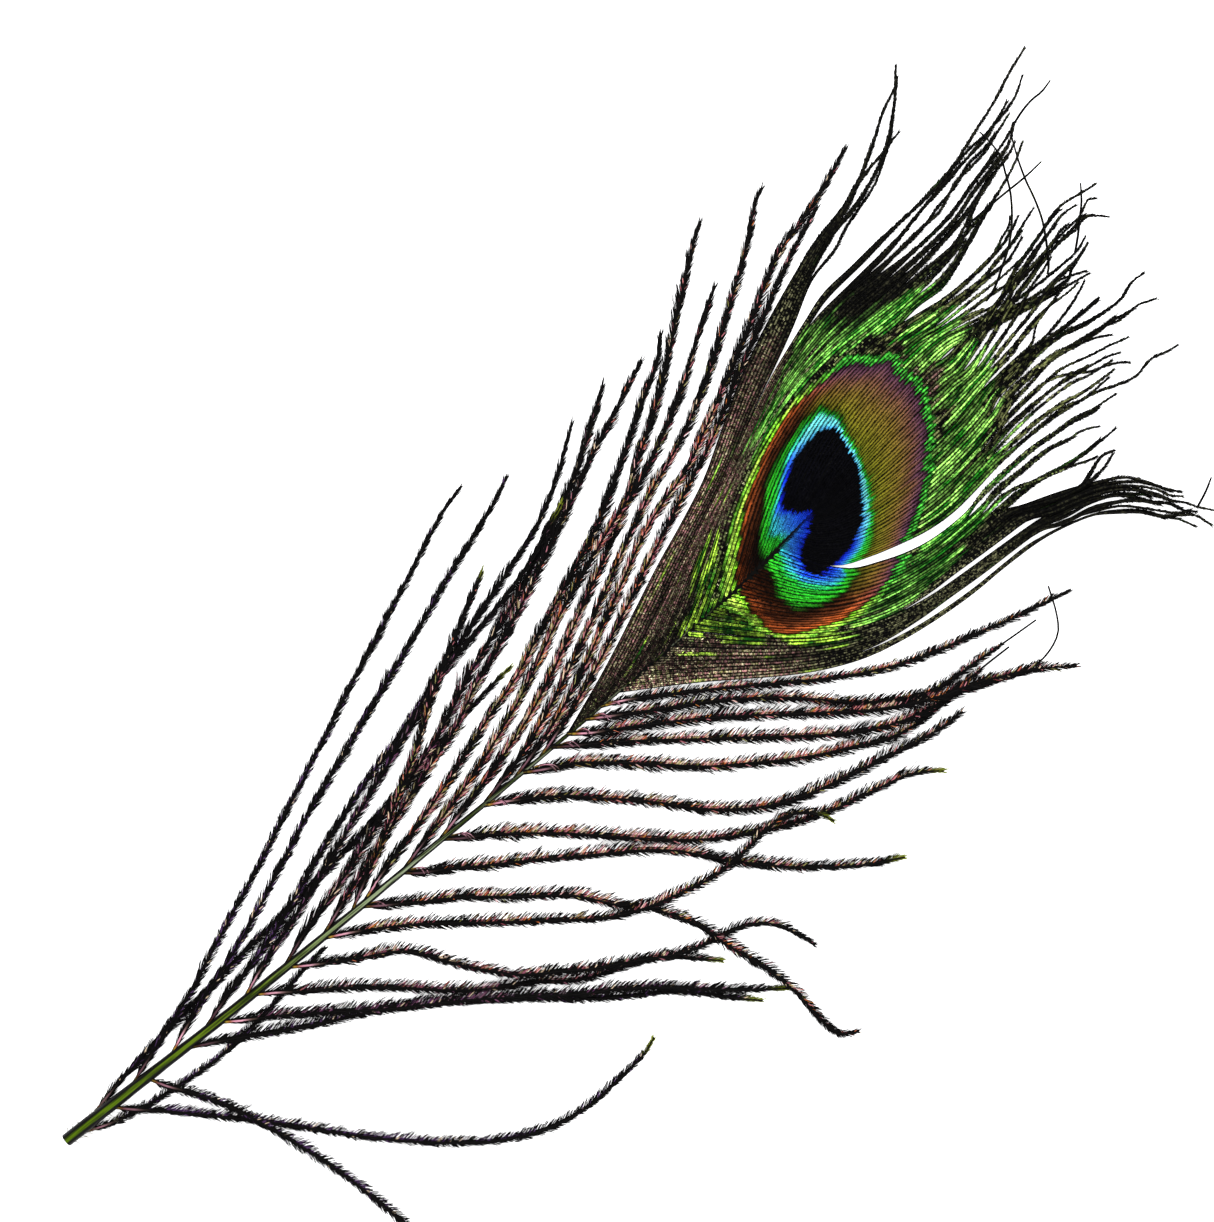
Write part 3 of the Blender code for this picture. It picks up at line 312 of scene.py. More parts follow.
# %% [markdown]
# Towards the tip a lock comes apart into strands, each one a few barbs that cling together. A strand is
# given by where it lies across its lock, 0 on the first line and 1 on the second, and by waypoints that
# take it from the vane out to its tip. Every barb follows the strand nearest to it.
# %% Strands
STRANDS = {
    "left_outer": [
        (0.0, [(-40.5, 198), (-42, 202.5), (-44.7, 207.3), (-48.5, 213.5), (-51.3, 218.6)]),
        (0.45, [(-39.2, 196), (-40.2, 199.5), (-41.8, 202.5), (-42.7, 205.5), (-43.3, 208.5), (-43.9, 211.5),
                (-44.6, 214.7)]),
        (0.75, [(-39.2, 200), (-41.3, 206), (-44, 211.3), (-48.5, 216.5), (-53.8, 221.6)]),
        (1.0, [(-35.7, 193.1), (-37.4, 197.2), (-38.5, 201), (-40, 205), (-41.5, 207.6), (-43.4, 210.6)]),
    ],
    "left_dark": [
        (0.0, [(-30.9, 187), (-31.6, 194), (-32.2, 200.2), (-32.9, 207.6), (-33.7, 214), (-34.6, 219.2),
               (-36.3, 223.6), (-38.5, 230), (-40.7, 236), (-42.3, 240.4)]),
        (0.08, [(-30.6, 187), (-31.3, 195), (-32.1, 205), (-33.0, 214), (-34.3, 221), (-35.3, 227),
                (-36.6, 233.3), (-38.9, 237.2)]),
        (0.2, [(-28.4, 184), (-29.1, 191), (-29.9, 200), (-31.4, 208), (-32.3, 213), (-33.3, 218.8),
               (-34.4, 225.1), (-35.7, 229.5), (-37.1, 232.2)]),
        (0.33, [(-28.3, 195), (-29.2, 205.8), (-29.9, 211.4), (-31.1, 216.2), (-32.2, 219.9), (-32.9, 224.4),
                (-34, 228.1), (-35.2, 231.3)]),
        (0.5, [(-26.9, 196), (-27.2, 205), (-27.9, 212), (-29.4, 218), (-31, 224), (-32.2, 228.3),
               (-33.4, 231.2)]),
        (0.66, [(-25.6, 196), (-26, 205), (-26.8, 212), (-28.3, 218), (-30, 224), (-31.4, 228.5),
                (-33.1, 230.8)]),
        (0.83, [(-24.4, 197), (-24.9, 205), (-25.8, 211.5), (-27.2, 217), (-28.7, 222), (-29.6, 226),
                (-30.7, 229.3)]),
        (1.0, [(-23, 197), (-23.2, 202), (-24, 208.4), (-24.9, 213.2), (-26.6, 217), (-28.1, 221.4),
               (-29.2, 225.1), (-30.1, 227.5)]),
    ],
    "left_green": [
        (0.1, [(-22.3, 198), (-22.5, 203), (-23.1, 208), (-23.8, 213), (-24.7, 217.5), (-26.2, 221.8),
               (-28.1, 226.2), (-29.8, 230)]),
        (0.4, [(-21.4, 200), (-21.7, 205), (-22.7, 209.5), (-24.2, 213), (-26.2, 216.5), (-28, 220.5)]),
        (0.7, [(-20.2, 199), (-20.4, 204), (-21.5, 209), (-23.1, 213.5), (-24.4, 218), (-25.5, 220.9)]),
        (1.0, [(-19.3, 198), (-19.4, 203.5), (-20.3, 207.3), (-21.4, 210.6), (-22.5, 213.2), (-23.6, 216.2),
               (-24.6, 219)]),
    ],
    "left_eye": [
        (0.0, [(-18, 198), (-17.3, 203), (-17.5, 208), (-18.1, 213.5), (-19.2, 216.5), (-20.3, 219),
               (-21.4, 220.4)]),
        (0.1, [(-17.3, 198), (-17.1, 204), (-17.6, 211), (-18.3, 215.5), (-19.2, 218.7), (-20.6, 221.6)]),
        (0.19, [(-16.6, 198), (-16, 204.7), (-16.1, 209.3), (-16.7, 213.2), (-17.4, 217), (-18.6, 220.6),
                (-19.8, 224.5)]),
        (0.28, [(-16, 198), (-15.7, 204), (-15.6, 210), (-15.9, 215), (-17.2, 219.6)]),
        (0.36, [(-15.2, 198), (-15.2, 204.7), (-15.1, 210), (-15.3, 216)]),
        (0.44, [(-14.3, 199), (-14.3, 206), (-14.2, 212), (-14.5, 217.4)]),
        (0.54, [(-13.4, 199), (-12.9, 206), (-12.8, 212.3)]),
        (0.64, [(-12.8, 200), (-11.8, 205.8), (-10.6, 209.4)]),
        (0.72, [(-12.2, 199), (-10.9, 205), (-9.6, 210), (-9.3, 216), (-9.2, 221), (-9.2, 225),
                (-10.2, 228.4)]),
        (0.8, [(-11.6, 199), (-10.3, 204.5), (-8.9, 210), (-8, 215), (-7.6, 219.5), (-6.8, 222),
               (-5.6, 224.3)]),
        (0.88, [(-10.8, 199), (-9.5, 205), (-8.2, 210.5), (-7.3, 216), (-6.9, 221)]),
        (0.95, [(-10.2, 199), (-9, 205), (-7.5, 211), (-6.6, 216), (-6.3, 220.2), (-7.3, 222.6),
                (-9.3, 227.2)]),
        (1.0, [(-9.9, 199), (-8.6, 205), (-7, 211.5), (-6, 217), (-5.5, 221), (-4.9, 225)]),
    ],
    "crown": [
        (0.0, [(-1.9, 200), (-2.8, 205), (-3.9, 210), (-4.6, 215), (-5.0, 219.5), (-5.2, 222)]),
        (0.12, [(-2.6, 200), (-3.6, 206), (-4.4, 211.7), (-5.2, 215.5), (-5.6, 219)]),
        (0.24, [(-3.5, 200), (-4.8, 206), (-6.2, 212), (-7.5, 218), (-8.6, 223.5), (-9.3, 227.3)]),
        (0.36, [(-4.2, 199), (-5.8, 205), (-7.6, 210), (-9.2, 214.5), (-10.4, 218), (-11.4, 221.2)]),
        (0.5, [(-5, 198), (-7, 204), (-9.4, 210.5), (-10.7, 215.2), (-11.6, 219.1), (-12.3, 223.3),
               (-12.8, 227.1), (-13.1, 229.2), (-12.3, 231), (-10.7, 233.1)]),
        (0.65, [(-6.2, 197), (-8.2, 203.5), (-10.3, 209.8), (-11.4, 213.3), (-12.3, 217.5), (-13, 221),
                (-13.9, 225.7), (-13.9, 229), (-15.2, 232), (-14.5, 233.3)]),
        (0.82, [(-7.8, 197), (-9.2, 203), (-10.9, 209), (-12.3, 214), (-13.7, 218.7), (-14.9, 222.2),
                (-15.8, 226.8), (-15.6, 230)]),
        (1.0, [(-9.3, 197), (-10.1, 203), (-11.4, 209.3), (-12.5, 212.4), (-13.9, 215.9), (-15.9, 222.2),
               (-16.8, 226), (-17.1, 229), (-16.5, 233.1), (-16.1, 234.8)]),
    ],
    "right_inner": [
        (0.05, [(3.9, 200), (3.1, 205), (2.5, 210), (3.1, 215.2), (4.2, 218.4), (5.7, 221.3)]),
        (0.25, [(2.6, 200), (2.2, 205), (2.2, 210.5), (2.9, 215), (3.6, 219.5), (3.8, 223.5), (4.4, 227.5),
                (5.6, 231)]),
        (0.45, [(1.3, 199), (0.9, 204), (0.1, 209), (0.1, 214), (1, 218.2), (1.8, 222.5), (1.7, 226),
                (0.8, 229.5), (0.9, 231.9)]),
        (0.6, [(0.6, 199), (-0.2, 205), (-0.5, 211), (-0.4, 217), (-0.5, 223)]),
        (0.75, [(-0.2, 199), (-0.9, 205), (-0.9, 211), (-0.8, 217), (-1.0, 223.3)]),
        (0.88, [(-0.8, 199), (-1.5, 205.5), (-2.2, 209), (-3.3, 211.2), (-4.9, 213.4)]),
        (1.0, [(-1.2, 199), (-1.6, 205), (-1.4, 211), (-2, 215.2), (-3.3, 219.8), (-4.5, 223)]),
    ],
    "right_tall": [
        (0.0, [(10.5, 195), (10.3, 201), (10.7, 207), (11.5, 212.1), (12.3, 215.5), (13.6, 219.8),
               (13.4, 223.5), (13.6, 226.6), (14.2, 228.7)]),
        (0.15, [(10.1, 196), (10, 202.3), (10.4, 207), (11.3, 210.5), (11.1, 216.4)]),
        (0.3, [(9.3, 196), (9, 202.3), (9.5, 207), (10.1, 211.7), (10.4, 217.6)]),
        (0.5, [(7.9, 197), (7.6, 202.3), (7.5, 207), (7.8, 210.5), (8.4, 214), (9.2, 218.6)]),
        (0.66, [(6.8, 197), (6.4, 202.3), (6.4, 207), (6.7, 211.2), (7.4, 215.2), (7.9, 217.7),
                (8.8, 220.3)]),
        (0.82, [(5.6, 198), (5, 203.5), (4.9, 209.5), (5.5, 213.5), (6, 216.3), (6.8, 219.3), (7.5, 223.2)]),
        (1.0, [(5.0, 198), (4.6, 203), (4.7, 207.5), (6.3, 211.2), (7.8, 214), (8.9, 216.6), (10.1, 219.1),
               (11.2, 220.8)]),
    ],
    "right_green": [
        (0.0, [(17.4, 190), (17.3, 195.1), (17.9, 199), (18.7, 201), (19.6, 203.6), (20.4, 206)]),
        (0.15, [(16.6, 190), (17, 195), (17.8, 200), (18.3, 205), (18.4, 211.8)]),
        (0.35, [(15.4, 188), (15.7, 191.3), (16.6, 194), (17.5, 197.7), (18.1, 201), (18.3, 204)]),
        (0.6, [(14.1, 188), (13.9, 194), (14, 200), (14.7, 203.3), (15.2, 206.7), (16.3, 209.7)]),
        (0.9, [(12.9, 186), (12.3, 192), (12.2, 198), (12.5, 202), (12.9, 206.1), (13.6, 210.5),
               (13.9, 215.4)]),
    ],
    "right_dark": [
        (0.02, [(23.6, 196), (24.6, 199.5), (25.9, 202.8), (26.6, 204.6)]),
        (0.18, [(22.9, 194), (24.2, 199), (26.4, 204), (28.8, 207.4), (31.7, 209.7), (33.8, 210.7),
                (35.8, 212.3), (37.9, 213.9), (40, 215.7)]),
        (0.36, [(21.9, 193), (23.4, 198.5), (25.5, 203.5), (28.2, 207.8), (31, 210.2), (33.2, 211.3),
                (35.3, 213.3)]),
        (0.54, [(21, 192), (22.6, 197.5), (24.6, 203), (27.5, 208), (30.3, 210.6), (32.5, 211.5),
                (34.2, 213.4)]),
        (0.7, [(20.4, 192), (22, 197.5), (22.4, 200.5), (21.8, 203.1), (20.7, 206.6), (21.6, 209.1)]),
        (0.8, [(19.9, 192), (21.9, 197), (22.8, 201.8), (22.4, 205.5), (21.6, 208.6)]),
        (0.92, [(19.3, 191), (21, 196.3), (23, 201), (26, 206.6), (29.4, 210.3), (31.7, 211.5), (33, 212)]),
    ],
    "right_outer": [
        (0.0, [(26.2, 194), (27.9, 199.5), (30.2, 203.1), (31.7, 205.1), (33.5, 206.7), (35.6, 208.2),
               (37.6, 209.7), (40.6, 211.4)]),
        (0.22, [(25.8, 194), (27.4, 199), (29.6, 202.8), (32, 205.7), (34.6, 208), (36.5, 210.3),
                (38.4, 212.8), (39.7, 213), (42, 213.9)]),
        (0.44, [(25.4, 194), (26.6, 199.5), (28.9, 204.4), (30.5, 206.7), (32.3, 208.2), (34.3, 210),
                (36.3, 211.5), (38.4, 213.2)]),
        (0.66, [(24.8, 195), (25.8, 200), (27.4, 204.1), (28.9, 206.4), (30.7, 208.1), (31.9, 208.8)]),
        (0.88, [(24.2, 195), (25.3, 200), (27.2, 203.5), (29.3, 206.2), (31.5, 208.4)]),
    ],
}

# %% Hairs
# Thin stray hairs that cross the crown and the tufts: the lock each grows from, its height and its waypoints.
HAIRS = [
    ("crown", 3.0, [(-9.5, 218.5), (-11, 220), (-16.5, 223.3), (-20.5, 224.8), (-24.5, 225.8), (-28, 227),
                    (-31.5, 228.5)]),
    ("crown", 2.7, [(-12.5, 207.5), (-13.5, 210.3), (-15.5, 213.5), (-17.2, 216.2), (-19.5, 218.7),
                    (-21.8, 220.7), (-24.8, 222.7), (-27.8, 224), (-30, 225), (-33, 225.2), (-35.8, 224.9)]),
    ("crown", 2.4, [(-9.3, 224.5), (-11.3, 226.8), (-13.5, 229), (-15.5, 231), (-18.1, 232.9)]),
    ("left_dark", 1.4, [(-33.1, 230.3), (-34, 233), (-34.5, 235.6), (-34.5, 237.8), (-35.1, 240.2)]),
    ("left_green", 1.6, [(-24.7, 213.5), (-24.9, 220.7), (-24.9, 226.2), (-25.2, 230.2)]),
    ("right_dark", 1.8, [(37.7, 213.8), (36.6, 216.4), (35.3, 218.7)]),
]

print("waypoints:", len(LEFT_BARBS) + len(RIGHT_BARBS), "loose barbs,", len(LOCKS), "locks,",
      sum(len(strands) for strands in STRANDS.values()), "strands")

# %% [markdown]
# ## Paths
#
# A barb is a smooth curve through its waypoints. Blender's curve objects could draw it, but barbules have
# to be planted along it, so the curve is worked out here as a row of points at equal distances, together
# with the direction that it has at each of them.
# %% Smooth paths
FINE_STEPS = 8  # points between two waypoints while a path is smoothed


def lengths_along(points):
    """Distance travelled at each point of a path."""
    steps = np.linalg.norm(np.diff(points, axis=0), axis=1)
    return np.concatenate([[0.0], np.cumsum(steps)])


def smooth_path(points, steps):
    """Points at equal distances along a smooth curve through the waypoints."""
    knots = np.array(points, float)
    padded = np.vstack([2 * knots[0] - knots[1], knots, 2 * knots[-1] - knots[-2]])
    t = np.arange(FINE_STEPS)[:, None] / FINE_STEPS
    fine = []
    for a, b, c, d in zip(padded, padded[1:], padded[2:], padded[3:]):
        bend = (2 * a - 5 * b + 4 * c - d) * t**2 + (3 * b - a - 3 * c + d) * t**3
        fine.append(0.5 * (2 * b + (c - a) * t + bend))
    fine = np.vstack([*fine, knots[-1:]])
    travelled = lengths_along(fine)
    wanted = np.linspace(0, travelled[-1], steps + 1)
    return np.stack([np.interp(wanted, travelled, column) for column in fine.T], axis=1)


def smooth_heights(heights, shares):
    """Height of a barb at shares of its length, smooth through the four heights given for it."""
    knots = [2 * heights[0] - heights[1], *heights, 2 * heights[-1] - heights[-2]]
    knots = np.array(knots)
    k = np.minimum((shares * 3).astype(int), 2)
    t = shares * 3 - k
    a, b, c, d = (knots[k + i] for i in range(4))
    return 0.5 * (2 * b + (c - a) * t + (2 * a - 5 * b + 4 * c - d) * t**2 + (3 * b - a - 3 * c + d) * t**3)


def shaft_at(along):
    """Sideways place and half width of the shaft at a distance along it."""
    stations, middles, half_widths = zip(*SHAFT)
    return np.interp(along, stations, middles), np.interp(along, stations, half_widths)


def eased(values, low, high):
    """0 up to low, 1 from high on, and a smooth rise between them."""
    share = np.clip((values - low) / (high - low), 0.0, 1.0)
    return share * share * (3 - 2 * share)


# %% A path that things grow from
def unit(vectors):
    """The same directions with a length of one."""
    return vectors / np.maximum(np.linalg.norm(vectors, axis=-1, keepdims=True), 1e-9)


class Path:
    """A row of points in space that gives its place and direction at any distance along it."""

    def __init__(self, points):
        self.points = np.array(points, float)
        self.travelled = lengths_along(self.points)
        self.length = self.travelled[-1]
        self.directions = unit(np.gradient(self.points, axis=0))

    def read_off(self, rows, distances):
        """Numbers given at each point of the path, read off at other distances along it."""
        return np.stack([np.interp(distances, self.travelled, column) for column in rows.T], axis=1)

    def places(self, distances):
        """Where the path is at these distances."""
        return self.read_off(self.points, distances)

    def headings(self, distances):
        """Which way it runs there."""
        return unit(self.read_off(self.directions, distances))


def square_to(headings):
    """Level directions square to these ones, on their left."""
    return unit(np.stack([-headings[:, 1], headings[:, 0], np.zeros(len(headings))], axis=1))


# %% [markdown]
# ## From barbs to one mesh
#
# A mesh in Blender is a list of vertices and a list of faces. Tens of thousands of barbules as separate
# objects would be slow, so each piece of the feather gathers its barbs and barbules into one mesh. Every
# vertex also keeps marks, which the materials read later: how far along its barb it is, how far out on its
# barbule, a random number for its barb and one for its barbule, which kind of part it belongs to, how far
# from the shaft it is rooted, how green, rosy or violet its place is, where it lies among the rings of the
# eye, and whether the stripe of its barb is parted in two.
#
# A texture map is laid out at the same time. The barbs are cut into rows of equal length and laid side by
# side, so that each barb has its own place on it.
# %% Gather barbs into a mesh
MARKS = ("along", "across", "barb", "barbule", "part", "root", "green", "rosy", "violet", "zone", "parted")
BARBULE, RAMUS, UNDERLAYER_AND_SHADE = 0.0, 1.0, 2.0  # values of the mark "part"
ROW_WIDTH = 1.1  # width that a barb takes on the texture map
ROW_MARGIN = 1.5  # spare length at both ends of a row
ROW_FILL = 0.46  # half of a row's width that is used, as a share of the row


class Weave:
    """Vertices, triangles and marks, gathered until they become one mesh."""

    def __init__(self):
        self.places, self.triangles, self.stations = [], [], []
        self.marks = {name: [] for name in MARKS}
        self.count = 0
        self.laid = 0.0  # length of the barbs so far

    def add(self, places, triangles, stations, **marks):
        """Adds vertices, triangles and, for each triangle, how far along its barb it is rooted."""
        self.places.append(places)
        self.triangles.append(triangles + self.count)
        self.stations.append(stations + self.laid)
        for name in MARKS:
            values = marks.get(name, 0.0)
            self.marks[name].append(np.broadcast_to(values, len(places)).astype(float))
        self.marks["along"][-1] = self.marks["along"][-1] + self.laid
        self.count += len(places)

    def next_barb(self, length):
        """Moves on past a barb of this length on the texture map."""
        self.laid += length + 2 * ROW_MARGIN

    def texture_map(self, triangles, marks, stations):
        """Where each corner of each triangle lies on the texture map."""
        row_length = math.sqrt(max(self.laid, 1.0) * ROW_WIDTH)
        rows = math.ceil(self.laid / row_length) + 1
        row = np.floor(stations / row_length)[:, None]
        across = marks["across"][triangles]
        along = marks["along"][triangles] - row * row_length
        u = (row + 0.5 + ROW_FILL * across) / rows
        v = (along + ROW_MARGIN) / (row_length + 2 * ROW_MARGIN)
        return np.clip(np.stack([u, v], axis=-1), 0.0, 1.0)

    def mesh(self, name):
        """The mesh, in metres, with its marks and its texture map."""
        places = np.concatenate(self.places)
        triangles = np.concatenate(self.triangles)
        stations = np.concatenate(self.stations)
        marks = {mark: np.concatenate(values) for mark, values in self.marks.items()}
        corners = self.texture_map(triangles, marks, stations)
        mesh = bpy.data.meshes.new(name)
        mesh.from_pydata(places * METRES, [], triangles)
        for mark, values in marks.items():
            stored = mesh.attributes.new(mark, "FLOAT", "POINT")
            stored.data.foreach_set("value", values.astype(np.float32))
        layer = mesh.uv_layers.new(name="OFBake")
        layer.uv.foreach_set("vector", corners.astype(np.float32).ravel())
        mesh.shade_smooth()
        return mesh


# %% [markdown]
# ## One barb
#
# The stalk of a barb is called its ramus. It is a thin tapering tube, drawn with four sides, because it is
# hardly more than half a millimetre thick. Each barbule is a narrow leaf of three triangles, rooted on the
# ramus, leaning forward and bending a little more forward at its tip. Its lean, length and roll vary at
# random, since a row of equal leaves looks like a comb.
# %% The stalk of a barb
RADII_AT = [0, 0.1, 0.75, 1]  # shares of a ramus's length at which its four radii are given
FLATNESS = 0.6  # its height as a share of its width
RAMUS_ACROSS = 0.06  # how far its sides lie from the middle of its row on the texture map
NO_BARBULE = 0.5  # what it has in place of a barbule's random number


def no_marks(share):
    """The marks of a barb that has none."""
    return {}


def grow_ramus(weave, path, radii, barb, step, marks=no_marks):
    """A four-sided tapering tube along a path, with a ring of vertices about every step."""
    rings = max(int(path.length / step), 8)
    distances = np.linspace(0, path.length, rings + 1)
    share = distances / path.length
    radius = np.interp(share, RADII_AT, radii)
    heading = path.headings(distances)
    sideways = square_to(heading)
    upward = np.cross(heading, sideways)
    centre = path.places(distances)
    ring = [sideways, FLATNESS * upward, -sideways, -FLATNESS * upward]
    places = np.stack([centre + direction * radius[:, None] for direction in ring], axis=1).reshape(-1, 3)
    low = np.arange(rings)[:, None] * 4
    side = np.arange(4)[None, :]
    a, b = low + side, low + (side + 1) % 4
    triangles = np.stack([a, b, b + 4, a, b + 4, a + 4], axis=-1).reshape(-1, 3)
    along = np.repeat(distances, 4)
    across = np.tile([RAMUS_ACROSS, 0.0, -RAMUS_ACROSS, 0.0], rings + 1)
    own_marks = {name: np.repeat(values, 4) for name, values in marks(share).items()}
    weave.add(places, triangles, np.repeat(distances[:-1], 8), along=along, across=across, barb=barb,
              barbule=NO_BARBULE, part=RAMUS, root=along, **own_marks)


# %% The leaves of a barb
LEAN_SCATTER = 4.0  # degrees by which barbules differ in lean, along the barb and one by one
LEAN_LIMITS = (8, 80)  # their least and most lean
TUFT_SCATTER = 0.4  # how unevenly they fall into tufts
HAIR_LENGTH = 1.3  # length of a hair beside that of another barbule
HAIR_WIDTH = 0.7  # its width beside that of another barbule
NARROWING = 0.85  # width of a barbule where its tip begins, as a share of that at its root
ROLL = 0.4  # how far barbules turn about their own length, in radians
LOWEST_LEAF = 0.02  # no barbule lies lower than this
LEAF_ACROSS = 0.04  # how far its root lies from the middle of its row on the texture map
LEAF_FACES = np.array([[0, 1, 3], [0, 3, 2], [2, 3, 4]])


def uneven(rng, distances, length, every):
    """Random numbers that change smoothly along a barb."""
    stations = np.arange(0, length + 2 * every, every)
    return np.interp(distances, stations, rng.normal(0, 1, len(stations)))


def grow_barbules(weave, path, side, facing, spacing, reach, lean, width, barb, rng, tuft, gather, broad,
                  start=0.3, end=None, hairs=0.0, marks=no_marks):
    """Barbules on one side of a path. facing is 1 on the side towards the feather's tip and -1 on the other.
    reach and lean are functions of the share of its length. tuft is the length of a tuft, and gather how much
    its tips draw together. broad is the share of its length over which a barbule keeps its width, and hairs
    the share of them that are thin and long enough to stand out of the fringe."""
    end = path.length - 0.05 if end is None else end
    count = max(int((end - start) / spacing), 1)
    distances = np.sort(start + (np.arange(count) + rng.uniform(0, 1, count)) * spacing)
    share = distances / path.length
    heading = path.headings(distances)
    sideways = square_to(heading) * side
    mean_lean = lean(share)
    wavy = LEAN_SCATTER * uneven(rng, distances, path.length, 3.0) + rng.normal(0, LEAN_SCATTER, count)
    angle = np.radians(np.clip(mean_lean + wavy, *LEAN_LIMITS))
    # neighbours gather into small tufts, whose tips meet
    place_in_row = distances / tuft + TUFT_SCATTER * uneven(rng, distances, path.length, 2.0)
    number = np.floor(place_in_row).astype(int) - int(place_in_row.min()) + 1
    tuft_length = rng.uniform(0.78, 1.26, number.max() + 1)[number]
    pull = gather * tuft * (0.5 - (place_in_row - np.floor(place_in_row)))
    is_hair = rng.uniform(0, 1, count) < hairs
    length = reach(share) / np.sin(np.radians(mean_lean)) * tuft_length * rng.uniform(0.88, 1.12, count)
    length = length * np.where(is_hair, HAIR_LENGTH, 1.0)
    # each grows outward from its root to the middle, and from there bends forward and down to its tip
    outward = heading * np.cos(angle)[:, None] + sideways * np.sin(angle)[:, None]
    outward[:, 2] += rng.normal(-0.08, 0.10, count)
    outward = unit(outward)
    bent = unit(outward + heading * rng.uniform(0.1, 0.5, count)[:, None] - [0, 0, 0.15])
    root = path.places(distances)
    middle = root + outward * (length * broad)[:, None] + heading * (0.5 * pull)[:, None]
    tip = middle + bent * (length * (1 - broad))[:, None] + heading * (0.5 * pull)[:, None]
    roll = rng.normal(0, ROLL, count)[:, None]
    edge = square_to(outward) * np.cos(roll) + np.array([0, 0, 1.0]) * np.sin(roll)
    half = 0.5 * width * (rng.uniform(0.8, 1.2, count) * np.where(is_hair, HAIR_WIDTH, 1.0))[:, None]
    places = np.stack([root - edge * half, root + edge * half, middle - edge * half * NARROWING,
                       middle + edge * half * NARROWING, tip], axis=1).reshape(-1, 3)
    places[:, 2] = np.maximum(places[:, 2], LOWEST_LEAF)
    triangles = (np.arange(count)[:, None, None] * 5 + LEAF_FACES).reshape(-1, 3)
    gone = np.array([0, 0, broad, broad, 1.0])
    forward = distances[:, None] + length[:, None] * np.cos(angle)[:, None] * gone
    across = facing * np.tile([LEAF_ACROSS, LEAF_ACROSS, broad, broad, 1.0], count)
    own_marks = {name: np.repeat(values, 5) for name, values in marks(share).items()}
    weave.add(places, triangles, np.repeat(distances, 3), along=forward.ravel(), across=across, barb=barb,
              barbule=np.repeat(rng.uniform(0, 1, count), 5), part=BARBULE, root=np.repeat(distances, 5),
              **own_marks)


# %% A dark strip under a barb
FADE = 7.0  # distance over which a strip tapers off at its end
BEHIND = 0.8  # how far it runs on behind the root of its barb, under the shaft
STRIP_STEP = 1.6  # distance between two rows of its vertices
STRIP_ACROSS = 0.3  # how far its edges lie from the middle of its row on the texture map
LOWEST_STRIP = 0.03  # no strip lies lower than this
STRIP_FACES = np.array([[0, 1, 3], [0, 3, 2]])


def grow_underlayer_and_shade(weave, path, side, tipward, rootward, barb, depth=0.2):
    """A flat strip a depth under a barb, which keeps the table from showing between its barbules. It is
    painted
    near black: partly the dark lower barbules, partly painted shade between the barbs. It reaches tipward and
    rootward by these widths, given at each point of the path, and tapers off at its end."""
    rings = max(int(path.length / STRIP_STEP), 4)
    distances = np.linspace(0, path.length, rings + 1)
    heading = path.headings(distances)
    sideways = square_to(heading) * side
    whole = 1 - eased(distances, path.length - FADE, path.length)
    below = path.places(distances) - [0, 0, depth]
    below[0] -= heading[0] * BEHIND
    edges = [below - sideways * (whole * np.interp(distances, path.travelled, rootward))[:, None],
             below + sideways * (whole * np.interp(distances, path.travelled, tipward))[:, None]]
    places = np.stack(edges, axis=1).reshape(-1, 3)
    places[:, 2] = np.maximum(places[:, 2], LOWEST_STRIP)
    low = np.arange(rings)[:, None] * 2
    triangles = (low[:, :, None] + STRIP_FACES).reshape(-1, 3)
    along = np.repeat(distances, 2)
    weave.add(places, triangles, np.repeat(distances[:-1], 2), along=along,
              across=np.tile([-STRIP_ACROSS, STRIP_ACROSS], rings + 1), barb=barb, part=UNDERLAYER_AND_SHADE, root=along)


